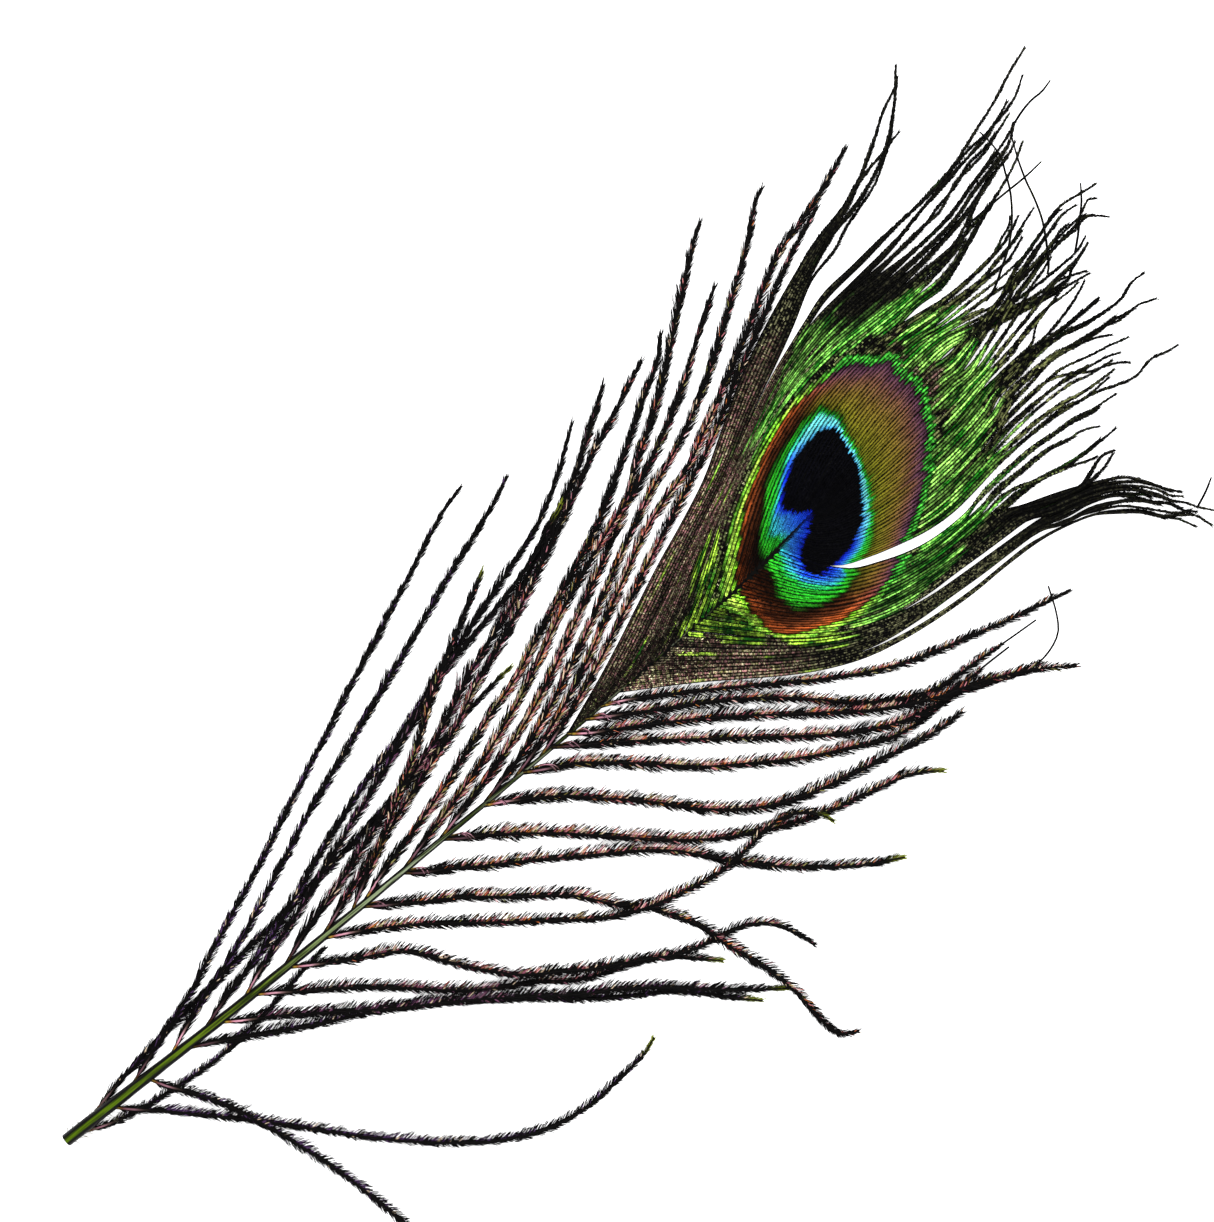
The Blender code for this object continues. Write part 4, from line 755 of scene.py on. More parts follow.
# %% [markdown]
# ## The rings of the eye
#
# The eye is a set of rings inside each other: a nearly black pupil with a notch where the shaft enters it,
# then blue, green, bronze, and a thin bright green rim. Each edge between two rings is a closed line
# through a few points. Seen from a spot inside the pupil, every such line has one radius in each direction,
# so a vertex's place among the rings is found by comparing its own radius with theirs. The answer is a
# number called its zone: 0 on the edge of the pupil, 1 where the blue ends, 2 where the green ends, 3 where
# the bronze ends and 4 on the outer edge of the rim. Below 0 and above 4 it grows by one for each
# millimetre.
# %% Edges of the rings
EYE_MIDDLE = (-2.0, 166.0)
RINGS = [
    # the pupil
    [(-13.3, 169.3), (-13.3, 171.1), (-12.8, 172.3), (-11.6, 173.6), (-10.4, 173.9), (-8, 173.5), (-6, 173.2),
     (-4, 172.7), (-2.3, 171.8), (-0.7, 170.5), (1.55, 169.3), (3.1, 168), (4.2, 166.2), (5.5, 163.8),
     (6, 162.2), (6.2, 160), (6.4, 158), (6, 156.4), (4.9, 154.9), (3.8, 154.1), (2.4, 154.7),
     (1.5, 155.3), (0.2, 156.9), (-0.9, 158.7), (-2, 160.2), (-3.1, 161.5), (-4, 160.8), (-4.8, 159.1),
     (-5.6, 158.3), (-6.4, 157.8), (-7.8, 158.4), (-8.7, 159.5), (-10, 161.1), (-11.3, 163.1),
     (-12.4, 165.1), (-13, 167.1)],
    # where the blue ends
    [(-14.9, 169.3), (-15.3, 171.6), (-15.5, 173.7), (-13.5, 174.5), (-12, 174.5), (-10.4, 174.4),
     (-8.7, 174.1), (-6.4, 173.7), (-4.2, 173), (-2, 172.1), (-0.2, 171.3), (1.5, 170.4), (3.1, 169.1),
     (4.6, 168), (5.8, 166.2), (6.8, 165), (7.1, 163.5), (7.3, 162), (7.8, 160), (9.1, 158.3),
     (8.9, 156.7), (7.6, 154.9), (6, 153.6), (4.7, 152.7), (3.6, 152.4), (2, 152), (0.2, 152.3),
     (-1.3, 153), (-2.6, 155.2), (-4.2, 153.4), (-5.3, 154.2), (-6.7, 155.8), (-7.8, 157.1), (-8.9, 158.9),
     (-10.2, 160.4), (-11.6, 162.2), (-12.9, 164), (-13.5, 165.5), (-14.3, 167.6)],
    # where the green ends
    [(-16.5, 170.4), (-16.4, 172.5), (-16.4, 174.4), (-15, 175.1), (-13, 175.5), (-11, 175.2), (-9, 174.9),
     (-7, 174.5), (-5, 174), (-3, 173.3), (-1, 172.6), (1, 171.6), (3, 170.2), (5, 168.9), (6.8, 167.2),
     (7.9, 165.5), (8.6, 163.5), (10, 161), (10.5, 158.9), (10.9, 156.7), (10.7, 154.4), (10.2, 152.2),
     (9.3, 150.4), (8.2, 148.9), (6.9, 148.2), (5.3, 148), (3.6, 147.9), (2, 148.3), (0.4, 149),
     (-1.3, 149.3), (-2.6, 149.8), (-3.8, 150.3), (-5.6, 151.8), (-7.3, 153.6), (-8.7, 155.1),
     (-10.2, 156.7), (-11.6, 158), (-12.7, 159.8), (-13.7, 161.6), (-14.4, 163.6), (-15.2, 165.8),
     (-15.8, 167.8)],
    # where the bronze ends
    [(-19.3, 171), (-19.4, 174), (-19.3, 177), (-19.5, 180.5), (-18.9, 183), (-17.6, 185), (-16.2, 186.4),
     (-15.2, 187.9), (-12, 188.9), (-9, 189.2), (-7, 188.8), (-5, 188), (-3, 186.7), (-1, 185.5), (1, 183.6),
     (3, 182), (4.5, 180.5), (6, 179), (7.3, 177.2), (8.4, 175.3), (9.6, 173), (10.8, 170.8), (12.3, 168.6),
     (13.3, 166.5), (14.2, 164), (14.9, 162), (15, 159.5), (14.9, 157), (14.7, 155), (14.2, 153.3),
     (13.7, 151.8), (12.8, 149.3), (12, 147.3), (11.2, 145.8), (10, 144.4), (8, 143.3), (5.5, 142.8),
     (3, 142.9), (1, 143.2), (-0.8, 143.3), (-2.2, 143.9), (-4, 145.6), (-6, 147.6), (-8, 149.6),
     (-9.8, 151.6), (-11.2, 153.4), (-13, 156.2), (-14.5, 158.7), (-16, 161.3), (-17.2, 163.6),
     (-18, 165.8), (-18.8, 168.3)],
    # the outer edge of the rim
    [(-20, 170), (-20.3, 174), (-20.2, 178), (-20.4, 181.5), (-19.8, 184), (-18.3, 186), (-17, 187.6),
     (-15.6, 189.2), (-12, 190), (-9, 190.4), (-7, 190), (-5, 189.2), (-3, 187.9), (-1, 186.7), (0.8, 185.3),
     (2.5, 183.8), (4.2, 182.3), (5.8, 180.6), (7.5, 178.6), (8.9, 176.4), (10.3, 174), (11.8, 171.8),
     (13.2, 169.8), (14.2, 167.8), (15, 165.3), (15.6, 163), (15.9, 160.5), (15.9, 158), (15.8, 155),
     (15.2, 152.6), (14.3, 150), (13.2, 147.6), (12.1, 145.6), (11, 144.1), (9.3, 143), (7, 142),
     (4.5, 141.1), (2, 140.1), (0, 139.2), (-1, 139.2), (-2.3, 140.2), (-4.3, 142.5), (-6.5, 145),
     (-8.8, 147.6), (-10.6, 150.2), (-12.2, 152.8), (-14.2, 155.9), (-16, 158.9), (-17.3, 161.8),
     (-18.5, 164.6), (-19.3, 167)],
]


def radius_by_direction(ring):
    """The radius of a closed line in each direction from the middle of the eye, as two rows of numbers."""
    closed = ring + ring[:1]
    points = smooth_path(closed, 200)[:-1] - EYE_MIDDLE
    direction = np.arctan2(points[:, 1], points[:, 0])
    order = np.argsort(direction)
    return direction[order], np.hypot(points[:, 0], points[:, 1])[order]


RING_RADII = [radius_by_direction(ring) for ring in RINGS]
print("rings of the eye:", len(RING_RADII), "edges")


def zone_of(places):
    """The zone of each place: below 0 in the pupil, 0 to 4 among the rings, above 4 outside them."""
    apart = places[:, :2] - EYE_MIDDLE
    direction = np.arctan2(apart[:, 1], apart[:, 0])
    distance = np.hypot(apart[:, 0], apart[:, 1])
    edges = [np.interp(direction, turn, radius, period=2 * np.pi) for turn, radius in RING_RADII]
    zone = distance - edges[0]
    for number, (inner, outer) in enumerate(zip(edges, edges[1:])):
        between = number + (distance - inner) / np.maximum(outer - inner, 0.05)
        zone = np.where(distance > inner, between, zone)
    return np.where(distance > edges[-1], len(edges) - 1 + distance - edges[-1], zone)


# %% [markdown]
# ## Washes of colour
#
# Outside the rings, soft-edged patches of the vane shine green, and others are rusty and rose. Each patch
# is an ellipse: its middle, its half width and half length, how far it is turned, and its strength.
# %% Green and rosy patches
GREEN_PATCHES = [
    (-20.6, 194, 2.0, 9, 0, 0.9), (-13.5, 197, 6.0, 8, 0, 1.0), (-4.5, 196, 5, 8, 20, 0.95),
    (1.3, 191, 3.0, 11, 14, 0.95), (5.6, 186, 2.6, 12, 8, 0.9), (8.8, 184, 2.4, 12, 4, 0.85),
    (11.2, 182, 1.6, 12, 0, 0.9), (15.0, 176, 2.4, 13, 0, 1.0), (18.3, 170, 2.0, 12, 0, 0.6),
    (-26.5, 180, 2.2, 8, 12, 0.65), (-23.6, 178, 2.4, 13, 12, 0.85), (-22.4, 188, 2.6, 8, 5, 0.85),
    (17.3, 162, 2.8, 10, -12, 0.8), (14.0, 149, 2.4, 8, -40, 0.8), (-21.3, 168, 1.6, 10, 18, 0.7),
    (-6.5, 141.0, 2.6, 9, 38, 0.9), (5, 139.0, 7, 3.4, 25, 0.85), (-0.8, 136, 3.0, 6, 0, 0.9),
    (10, 190, 4, 9, 0, 0.5),
]
ROSY_PATCHES = [
    (-13, 138, 7, 32, 26, 1.0), (-24, 163, 4, 16, 24, 0.7), (8, 129, 9, 20, -34, 1.0),
    (-16, 151, 3.2, 8, 28, 1.0), (-9, 192, 9, 3, 0, 0.6),
]


def wash(places, patches):
    """How strongly the patches colour each place, from 0 to 1."""
    strongest = np.zeros(len(places))
    for x, y, half_width, half_length, turn, strength in patches:
        c, s = math.cos(math.radians(turn)), math.sin(math.radians(turn))
        right, ahead = places[:, 0] - x, places[:, 1] - y
        across, along = c * right + s * ahead, -s * right + c * ahead
        distance = np.hypot(across / half_width, along / half_length)
        strongest = np.maximum(strongest, strength * (1 - eased(distance, 0.45, 1.15)))
    return strongest


print("washes:", len(GREEN_PATCHES), "green and", len(ROSY_PATCHES), "rosy patches")


# %% [markdown]
# ## Node helpers
#
# Materials are built from shader nodes. These helpers add one node each and return its output, so that a
# material reads like a sum.
# %% Small shader helpers
def screen_colour(red, green, blue):
    """A colour given as a screen shows it, 0 to 255, as the linear numbers that shaders take."""
    values = np.array([red, green, blue]) / 255
    linear = np.where(values <= 0.04045, values / 12.92, ((values + 0.055) / 1.055) ** 2.4)
    return (*(float(v) for v in linear), 1.0)


def plug(tree, socket, value):
    """Sets a socket to a number or colour, or links it to another node's output."""
    if isinstance(value, bpy.types.NodeSocket):
        tree.links.new(value, socket)
    else:
        socket.default_value = value


def mark(tree, name):
    """The mark of that name, stored on the mesh."""
    node = tree.nodes.new("ShaderNodeAttribute")
    node.attribute_name = name
    return node.outputs["Fac"]


def sums(tree, operation, first, second=0.0, third=0.0):
    """The result of one step of arithmetic."""
    node = tree.nodes.new("ShaderNodeMath")
    node.operation = operation
    for socket, value in zip(node.inputs, (first, second, third)):
        plug(tree, socket, value)
    return node.outputs[0]


def times(tree, *values):
    """The product of all the values."""
    product = values[0]
    for value in values[1:]:
        product = sums(tree, "MULTIPLY", product, value)
    return product


def rise(tree, value, low, high, start=0.0, end=1.0):
    """start up to low, end from high on, and a smooth change between them."""
    node = tree.nodes.new("ShaderNodeMapRange")
    node.interpolation_type = "SMOOTHSTEP"
    plug(tree, node.inputs["Value"], value)
    for name, number in (("From Min", low), ("From Max", high), ("To Min", start), ("To Max", end)):
        plug(tree, node.inputs[name], number)
    return node.outputs["Result"]


def blend(tree, amount, first, second, way="MIX"):
    """The first colour where the amount is 0, the second where it is 1."""
    node = tree.nodes.new("ShaderNodeMix")
    node.data_type = "RGBA"
    node.blend_type = way
    plug(tree, node.inputs[0], amount)
    plug(tree, node.inputs[6], first)
    plug(tree, node.inputs[7], second)
    return node.outputs[2]


def ramp(tree, value, stops):
    """A colour ramp: stops are pairs of a position from 0 to 1 and a colour as a screen shows it."""
    node = tree.nodes.new("ShaderNodeValToRGB")
    elements = node.color_ramp.elements
    while len(elements) < len(stops):
        elements.new(0.5)
    for element, (position, colour) in zip(elements, stops):
        element.position = position
        element.color = screen_colour(*colour)
    plug(tree, node.inputs[0], value)
    return node.outputs[0]


def streaks(tree, per_barb, per_millimetre):
    """Noise from 0 to 1 that runs in streaks along the barbs and differs from barb to barb."""
    place = tree.nodes.new("ShaderNodeCombineXYZ")
    plug(tree, place.inputs[0], times(tree, mark(tree, "along"), per_millimetre))
    plug(tree, place.inputs[1], times(tree, mark(tree, "barb"), per_barb))
    noise = tree.nodes.new("ShaderNodeTexNoise")
    noise.noise_dimensions = "2D"
    noise.inputs["Scale"].default_value = 1.0
    noise.inputs["Detail"].default_value = 3.0
    tree.links.new(place.outputs[0], noise.inputs["Vector"])
    return noise.outputs[0]


# %% [markdown]
# ## Shader groups
#
# Two effects are shared by several materials, so each is a node group that is built once. The first gives the
# colour of the eye for a zone. The second scatters two tints over dark barbules, one barbule at a time.
# %% The eye's colours as a group
def group_sockets(name, inputs, outputs):
    """A new shader group with named inputs and outputs, and its two end nodes."""
    tree = bpy.data.node_groups.new(name, "ShaderNodeTree")
    for label, kind, value in inputs:
        socket = tree.interface.new_socket(label, in_out="INPUT", socket_type=kind)
        socket.default_value = value
    for label, kind in outputs:
        tree.interface.new_socket(label, in_out="OUTPUT", socket_type=kind)
    return tree, tree.nodes.new("NodeGroupInput").outputs, tree.nodes.new("NodeGroupOutput").inputs


RING_STEPS = 4.0  # zones between the pupil and the outer edge of the rim
LOWER_COLOURS = [
    (0.0, (16, 42, 225)), (0.3, (34, 92, 255)), (0.65, (60, 150, 255)), (0.92, (70, 225, 240)),
    (1.05, (56, 228, 145)), (1.2, (46, 215, 60)), (1.7, (60, 222, 46)), (1.9, (36, 115, 22)),
    (2.02, (34, 20, 8)), (2.3, (68, 33, 14)), (2.6, (108, 54, 26)), (2.86, (186, 88, 38)),
    (2.95, (120, 62, 22)), (3.0, (30, 36, 10)), (3.1, (150, 240, 46)), (3.5, (215, 255, 100)),
    (3.85, (140, 230, 66)), (4.0, (28, 52, 16)),
]
UPPER_COLOURS = [
    (0.0, (80, 185, 245)), (0.25, (120, 240, 252)), (0.85, (130, 252, 250)), (1.0, (70, 240, 175)),
    (1.2, (44, 200, 60)), (1.75, (56, 140, 32)), (2.0, (104, 112, 24)), (2.2, (134, 128, 34)),
    (2.5, (134, 110, 44)), (2.72, (128, 86, 66)), (2.88, (108, 68, 88)), (2.97, (50, 30, 44)),
    (3.05, (44, 160, 42)), (3.5, (88, 215, 72)), (3.93, (44, 130, 38)), (4.0, (22, 40, 16)),
]


def eye_colours():
    """Group: the colour of a barbule in the eye, from its zone and from how far up the eye it counts."""
    tree, given, result = group_sockets(
        "Eye Colours",
        [("Zone", "NodeSocketFloat", 0.0), ("Upper", "NodeSocketFloat", 0.0)],
        [("Colour", "NodeSocketColor")],
    )
    share = sums(tree, "DIVIDE", given["Zone"], RING_STEPS)
    lower = ramp(tree, share, [(zone / RING_STEPS, colour) for zone, colour in LOWER_COLOURS])
    upper = ramp(tree, share, [(zone / RING_STEPS, colour) for zone, colour in UPPER_COLOURS])
    ringed = blend(tree, given["Upper"], lower, upper)
    pupil = rise(tree, given["Zone"], -0.35, 0.0, 1.0, 0.0)
    plug(tree, result["Colour"], blend(tree, pupil, ringed, screen_colour(4, 4, 10)))
    return tree


EYE_COLOURS = eye_colours()
print("ring colours:", len(LOWER_COLOURS), "low,", len(UPPER_COLOURS), "high")


# %% The scatter of tints as a group
def scattered_tints():
    """Group: a dark colour with two tints, each on a share of the barbules."""
    tree, given, result = group_sockets(
        "Scattered Tints",
        [
            ("Dark", "NodeSocketColor", (0, 0, 0, 1)),
            ("Tint", "NodeSocketColor", (1, 0, 0, 1)),
            ("Tint Share", "NodeSocketFloat", 0.3),
            ("Spark", "NodeSocketColor", (1, 1, 0, 1)),
            ("Spark Share", "NodeSocketFloat", 0.1),
            ("Barbule", "NodeSocketFloat", 0.5),
        ],
        [("Colour", "NodeSocketColor")],
    )
    tinted = sums(tree, "LESS_THAN", given["Barbule"], given["Tint Share"])
    sparked = sums(tree, "GREATER_THAN", given["Barbule"], sums(tree, "SUBTRACT", 1.0, given["Spark Share"]))
    first = blend(tree, tinted, given["Dark"], given["Tint"])
    plug(tree, result["Colour"], blend(tree, sparked, first, given["Spark"]))
    return tree


SCATTERED_TINTS = scattered_tints()


def use_group(tree, group, **values):
    """Places a group in a material. Underscores in the names of values stand for spaces."""
    node = tree.nodes.new("ShaderNodeGroup")
    node.node_tree = group
    for name, value in values.items():
        plug(tree, node.inputs[name.replace("_", " ")], value)
    return node.outputs[0]


# %% [markdown]
# ## Materials
#
# Barbules get their colours from layers thinner than light's own wavelength, and so shine a little like
# metal. A real thin-film shader would need each layer's thickness, so here the colours are painted by zone
# and made partly metallic, which keeps them vivid and still lets them catch the light from the side.
# %% Start of a material
def new_material(name, specular, roughness=0.5):
    """A material with a Principled shader that has these constants."""
    material = bpy.data.materials.new(name)
    material.use_nodes = True
    shader = material.node_tree.nodes["Principled BSDF"]
    shader.inputs["Roughness"].default_value = roughness
    shader.inputs["Specular IOR Level"].default_value = specular
    return material, material.node_tree, shader


# %% [markdown]
# The vane's material reads the marks of the mesh. A barb is bright along its middle and painted darker
# towards the ends of its barbules, as painted shade between neighbouring barbs, so the vane is striped. Near
# the shaft, where barbs stand farther apart, each stripe is parted in two by a dark line along its ramus.
# Some barbs are darker than the rest. In the eye the bright colour comes from the zone. Outside it there are
# long green streaks, or black with flecks of brown, rose and cream.
# %% Places and greys for the finishes
def grey(tree, value):
    """A grey with the brightness of a value."""
    node = tree.nodes.new("ShaderNodeCombineColor")
    for socket in node.inputs:
        plug(tree, socket, value)
    return node.outputs[0]


def feather_place(tree):
    """How far right of the shaft's foot and how far along the feather a point lies, in metres."""
    place = tree.nodes.new("ShaderNodeTexCoord")
    parts = tree.nodes.new("ShaderNodeSeparateXYZ")
    tree.links.new(place.outputs["Object"], parts.inputs[0])
    return parts.outputs["X"], parts.outputs["Y"]


def blend_number(tree, amount, first, second):
    """The first value where the amount is 0, the second where it is 1."""
    return sums(tree, "MULTIPLY_ADD", amount, sums(tree, "SUBTRACT", second, first), first)


# %% How far up the eye a point counts
def upper_part(tree, zone, side, along):
    """0 in the lower part of the eye and 1 in the upper part. Among the outer rings the line between them is
    tilted: the lower part reaches higher on the left than on the right."""
    near_pupil = rise(tree, along, 163 * METRES, 170 * METRES)
    tilted = sums(tree, "MULTIPLY_ADD", sums(tree, "ADD", side, 2 * METRES), 0.45, along)
    outside = rise(tree, tilted, 162 * METRES, 174 * METRES)
    return blend_number(tree, rise(tree, zone, 1.0, 1.4), near_pupil, outside)


def eye_shade(tree, zone, side, along, upper):
    """How bright the rings are from place to place. The lower bronze is streaky, dark beside the shaft and
    brighter on the far right, and the green is dark on the far left."""
    from_shaft = sums(tree, "ABSOLUTE", sums(tree, "ADD", side, 1.5 * METRES))
    beside_shaft = rise(tree, from_shaft, 2 * METRES, 10 * METRES, 0.42, 1.0)
    golden = rise(tree, side, 8 * METRES, 13 * METRES, 1.0, 1.5)
    streaky = rise(tree, streaks(tree, 67.0, 0.45), 0.40, 0.60, 0.62, 1.20)
    in_bronze = times(tree, rise(tree, zone, 1.85, 2.1), rise(tree, zone, 2.95, 3.0, 1.0, 0.0),
                      sums(tree, "SUBTRACT", 1.0, upper))
    bronze = blend_number(tree, in_bronze, 1.0, times(tree, beside_shaft, golden, streaky))
    in_left_green = times(tree, rise(tree, side, -12 * METRES, -9 * METRES, 1.0, 0.0),
                          rise(tree, along, 156 * METRES, 163 * METRES), rise(tree, zone, 1.0, 1.25),
                          rise(tree, zone, 1.9, 2.1, 1.0, 0.0))
    return times(tree, bronze, sums(tree, "MULTIPLY_ADD", in_left_green, -0.55, 1.0))


# %% Colour of the vane outside the eye
BLACK = (11, 10, 8)
FLECKS_PER_STEP = 7.0  # how often the flecks go through all their colours while the noise rises from 0 to 1


def flecks(tree, rosy, barbule, brown, rate):
    """Black with flecks of brown, or of rose and cream where the rosy wash lies. rate tells how quickly they
    follow each other along a barb."""
    turn = times(tree, streaks(tree, 61.0, rate), FLECKS_PER_STEP)
    turn = sums(tree, "FRACT", sums(tree, "MULTIPLY_ADD", barbule, 0.12, turn))
    quiet = ramp(tree, turn, [
        (0.0, BLACK), (0.30, BLACK), (0.48, brown), (0.72, brown), (0.85, BLACK), (1.0, BLACK),
    ])
    rose = ramp(tree, turn, [
        (0.0, (30, 22, 16)), (0.16, (128, 96, 84)), (0.34, (184, 128, 130)), (0.47, (40, 30, 24)),
        (0.62, (112, 108, 62)), (0.78, (196, 180, 152)), (0.90, (96, 70, 56)), (1.0, (30, 22, 16)),
    ])
    return use_group(tree, SCATTERED_TINTS, Dark=blend(tree, rosy, quiet, rose), Tint=screen_colour(*BLACK),
                     Tint_Share=0.15, Spark=screen_colour(214, 208, 164),
                     Spark_Share=sums(tree, "MULTIPLY_ADD", rosy, 0.08, 0.04), Barbule=barbule)


def green_streaks(tree, plain, along, barbule, deep, bright):
    """The plain colour with long streaks of two greens where the green wash lies, yellower near the shaft."""
    patchy = sums(tree, "SUBTRACT", streaks(tree, 41.0, 0.06), 0.5)
    shining = sums(tree, "MULTIPLY_ADD", patchy, 2.4, mark(tree, "green"))
    shining = sums(tree, "MULTIPLY_ADD", sums(tree, "SUBTRACT", barbule, 0.5), 0.3, shining)
    above_lime = rise(tree, along, 148 * METRES, 160 * METRES)
    lime = blend(tree, above_lime, screen_colour(196, 250, 78), screen_colour(*bright))
    green = rise(tree, streaks(tree, 17.0, 0.16), 0.38, 0.58)
    both_greens = blend(tree, green, screen_colour(*deep), lime)
    return blend(tree, rise(tree, shining, 0.35, 0.65), plain, both_greens)


# %% Brightness of the vane
def outer_shade(tree, barb, rosy, side, speckled):
    """How bright the vane is outside the eye: some barbs are dark, speckles and scratches run along all of
    them, and the rosy part is paler on the right."""
    dark_barb = rise(tree, sums(tree, "FRACT", times(tree, barb, 13.0)), 0.30, 0.55, 0.28, 1.05)
    paler_right = blend_number(tree, rosy, 1.0, rise(tree, side, -2 * METRES, 3 * METRES, 0.85, 1.35))
    scratches = rise(tree, streaks(tree, 29.0, 0.14), 0.38, 0.60, 0.60, 1.25)
    return times(tree, dark_barb, speckled, paler_right, scratches)


def ring_shade(tree, zone, side, along, upper, speckled):
    """How bright the eye is: it is streaked along its barbs, and speckled in its outermost rim."""
    in_rim = rise(tree, zone, 2.95, 3.1)
    broken = rise(tree, zone, 2.95, 3.1, 0.74, 0.55)
    calm = rise(tree, streaks(tree, 29.0, 0.30), 0.38, 0.58, broken, 1.1)
    return times(tree, calm, blend_number(tree, in_rim, 1.0, speckled),
                 eye_shade(tree, zone, side, along, upper))


def stripe(tree, barb, zone, out, in_eye, upper):
    """Two factors for how bright a barb is from its ramus outwards. The first dims the ends of its barbules,
    less so near the pupil: painted shade between neighbouring barbs. The second dims its ramus where its
    stripe is parted."""
    faint = times(tree, upper, in_eye, sums(tree, "FRACT", times(tree, barb, 7.0)))
    near_pupil = rise(tree, zone, 0.2, 1.1, 0.45, 0.10)
    shade_between_barbs = blend_number(tree, upper, times(tree, in_eye, near_pupil), times(tree, faint, 0.25))
    shade_between_barbs = sums(tree, "ADD", 0.04, shade_between_barbs)
    parted = mark(tree, "parted")
    edge_from = sums(tree, "MULTIPLY_ADD", parted, 0.26, 0.28)
    edge_to = sums(tree, "MULTIPLY_ADD", parted, 0.26, 0.60)
    # painted shade: the ends of the barbules darken towards the gaps between barbs
    ends = rise(tree, out, edge_from, edge_to, 1.0, shade_between_barbs)
    middle = rise(tree, out, 0.10, 0.36, sums(tree, "SUBTRACT", 1.0, parted), 1.0)
    return ends, middle


# %% The finish of the vane
BLACKENS_OVER = 14  # distance over which a lock turns black towards its tip


def vane_finish(name, brown, deep, bright, black_from, fleck_rate):
    """The material of the locks round the eye. deep and bright are the two greens of its streaks, and
    black_from is where along the feather it turns black."""
    material, tree, shader = new_material(name, specular=0.04)
    barb, barbule = mark(tree, "barb"), mark(tree, "barbule")
    zone, rosy, part = mark(tree, "zone"), mark(tree, "rosy"), mark(tree, "part")
    out = sums(tree, "ABSOLUTE", mark(tree, "across"))
    side, along = feather_place(tree)
    upper = upper_part(tree, zone, side, along)
    in_eye = rise(tree, zone, 3.96, 4.10, 1.0, 0.0)

    plain = flecks(tree, rosy, barbule, brown, fleck_rate)
    outer = green_streaks(tree, plain, along, barbule, deep, bright)
    black_to = black_from + BLACKENS_OVER
    blackness = rise(tree, along, black_from * METRES, black_to * METRES, 0.0, 0.90)
    outer = blend(tree, blackness, outer, screen_colour(*BLACK))
    colour = blend(tree, in_eye, outer, use_group(tree, EYE_COLOURS, Zone=zone, Upper=upper))

    speckled = rise(tree, streaks(tree, 83.0, 1.6), 0.38, 0.60, 0.50, 1.45)
    evenness = blend_number(tree, in_eye, outer_shade(tree, barb, rosy, side, speckled),
                            ring_shade(tree, zone, side, along, upper, speckled))
    dark_ramus = rise(tree, mark(tree, "root"), 6.0, 16.0, 0.85, 0.0)
    ramus = sums(tree, "COMPARE", part, RAMUS, 0.1)
    stalk = sums(tree, "SUBTRACT", 1.0, times(tree, dark_ramus, ramus))
    strength = times(tree, sums(tree, "MULTIPLY_ADD", barbule, 0.45, 0.64), evenness, stalk,
                     *stripe(tree, barb, zone, out, in_eye, upper))
    colour = blend(tree, 1.0, colour, grey(tree, strength), "MULTIPLY")
    # the strips under the barbs are near black: partly the dark lower barbules, partly painted shade between
    # barbs
    in_underlayer_and_shade = sums(tree, "GREATER_THAN", part, 1.5)
    colour = blend(tree, in_underlayer_and_shade, colour, screen_colour(6, 6, 5))
    tree.links.new(colour, shader.inputs["Base Color"])
    gloss = rise(tree, zone, 4.0, 4.6, 0.45, 0.12)
    leaf = sums(tree, "LESS_THAN", part, 0.5)
    tree.links.new(times(tree, gloss, leaf), shader.inputs["Metallic"])
    tree.links.new(rise(tree, barbule, 0.0, 1.0, 0.36, 0.58), shader.inputs["Roughness"])
    return material


# Slot: the brown of its flecks, its deep and its bright green, where it turns black, and how quickly its
# flecks follow each other along a barb.
VANE_COLOURS = {
    "dark_vane": ((108, 108, 78), (26, 92, 20), (156, 240, 104), 177, 0.34),
    "green_vane": ((124, 138, 84), (26, 116, 24), (156, 255, 104), 194, 0.28),
    "eye_vane": ((116, 122, 74), (28, 116, 22), (176, 252, 114), 205, 0.12),
}
VANE_FINISHES = {slot: vane_finish(f"{slot}_finish", *values) for slot, values in VANE_COLOURS.items()}
print("vane finishes:", ", ".join(VANE_FINISHES))

# %% [markdown]
# Loose barbs are nearly black. Many of their barbules have a speck of rose, orange, olive or straw colour in
# their middle. On the right side of the feather these are mostly the ones that face its tip. The lowest barbs
# have violet specks. Near the shaft the back of the ramus is olive yellow and then pink between black edges,
# more so on some barbs than on others: partly the ramus's own pale colour and partly a painted highlight.
# %% The finish of the loose barbs
LOOSE_BLACK = (7, 6, 6)
PALE_LIT_RAMUS_LENGTH = 6.0  # how far from the root the ramus is black again


def fringe_colour(tree, barbule, across, out, root):
    """Black barbules with specks of colour in their middles, and yellow-green ones at some tips."""
    black = screen_colour(*LOOSE_BLACK)
    side = feather_place(tree)[0]
    patches = rise(tree, streaks(tree, 57.0, 0.16), 0.42, 0.62, 0.20, 1.0)
    other_side = rise(tree, side, -6 * METRES, 2 * METRES, 0.72, 0.12)
    facing = rise(tree, across, -0.1, 0.1, other_side, 0.90)
    share = times(tree, facing, patches, mark(tree, "rosy"), rise(tree, root, 3.0, 9.0))
    warm = ramp(tree, sums(tree, "FRACT", times(tree, barbule, 37.0)), [
        (0.0, (74, 34, 42)), (0.25, (140, 70, 82)), (0.45, (196, 124, 132)), (0.60, (190, 100, 50)),
        (0.75, (108, 108, 58)), (0.90, (150, 146, 90)), (1.0, (230, 176, 178)),
    ])
    tint = blend(tree, mark(tree, "violet"), warm, screen_colour(78, 52, 92))
    leaf = use_group(tree, SCATTERED_TINTS, Dark=black, Tint=tint, Tint_Share=share,
                     Spark=screen_colour(214, 190, 160), Spark_Share=times(tree, share, 0.12),
                     Barbule=barbule)
    shift = sums(tree, "FRACT", times(tree, barbule, 53.0))
    shifted = sums(tree, "MULTIPLY_ADD", shift, 0.34, out)
    in_middle = times(tree, rise(tree, shifted, 0.24, 0.36), rise(tree, shifted, 0.64, 0.80, 1.0, 0.0))
    leaf = blend(tree, in_middle, black, leaf)
    return blend(tree, mark(tree, "green"), leaf, screen_colour(120, 130, 36))


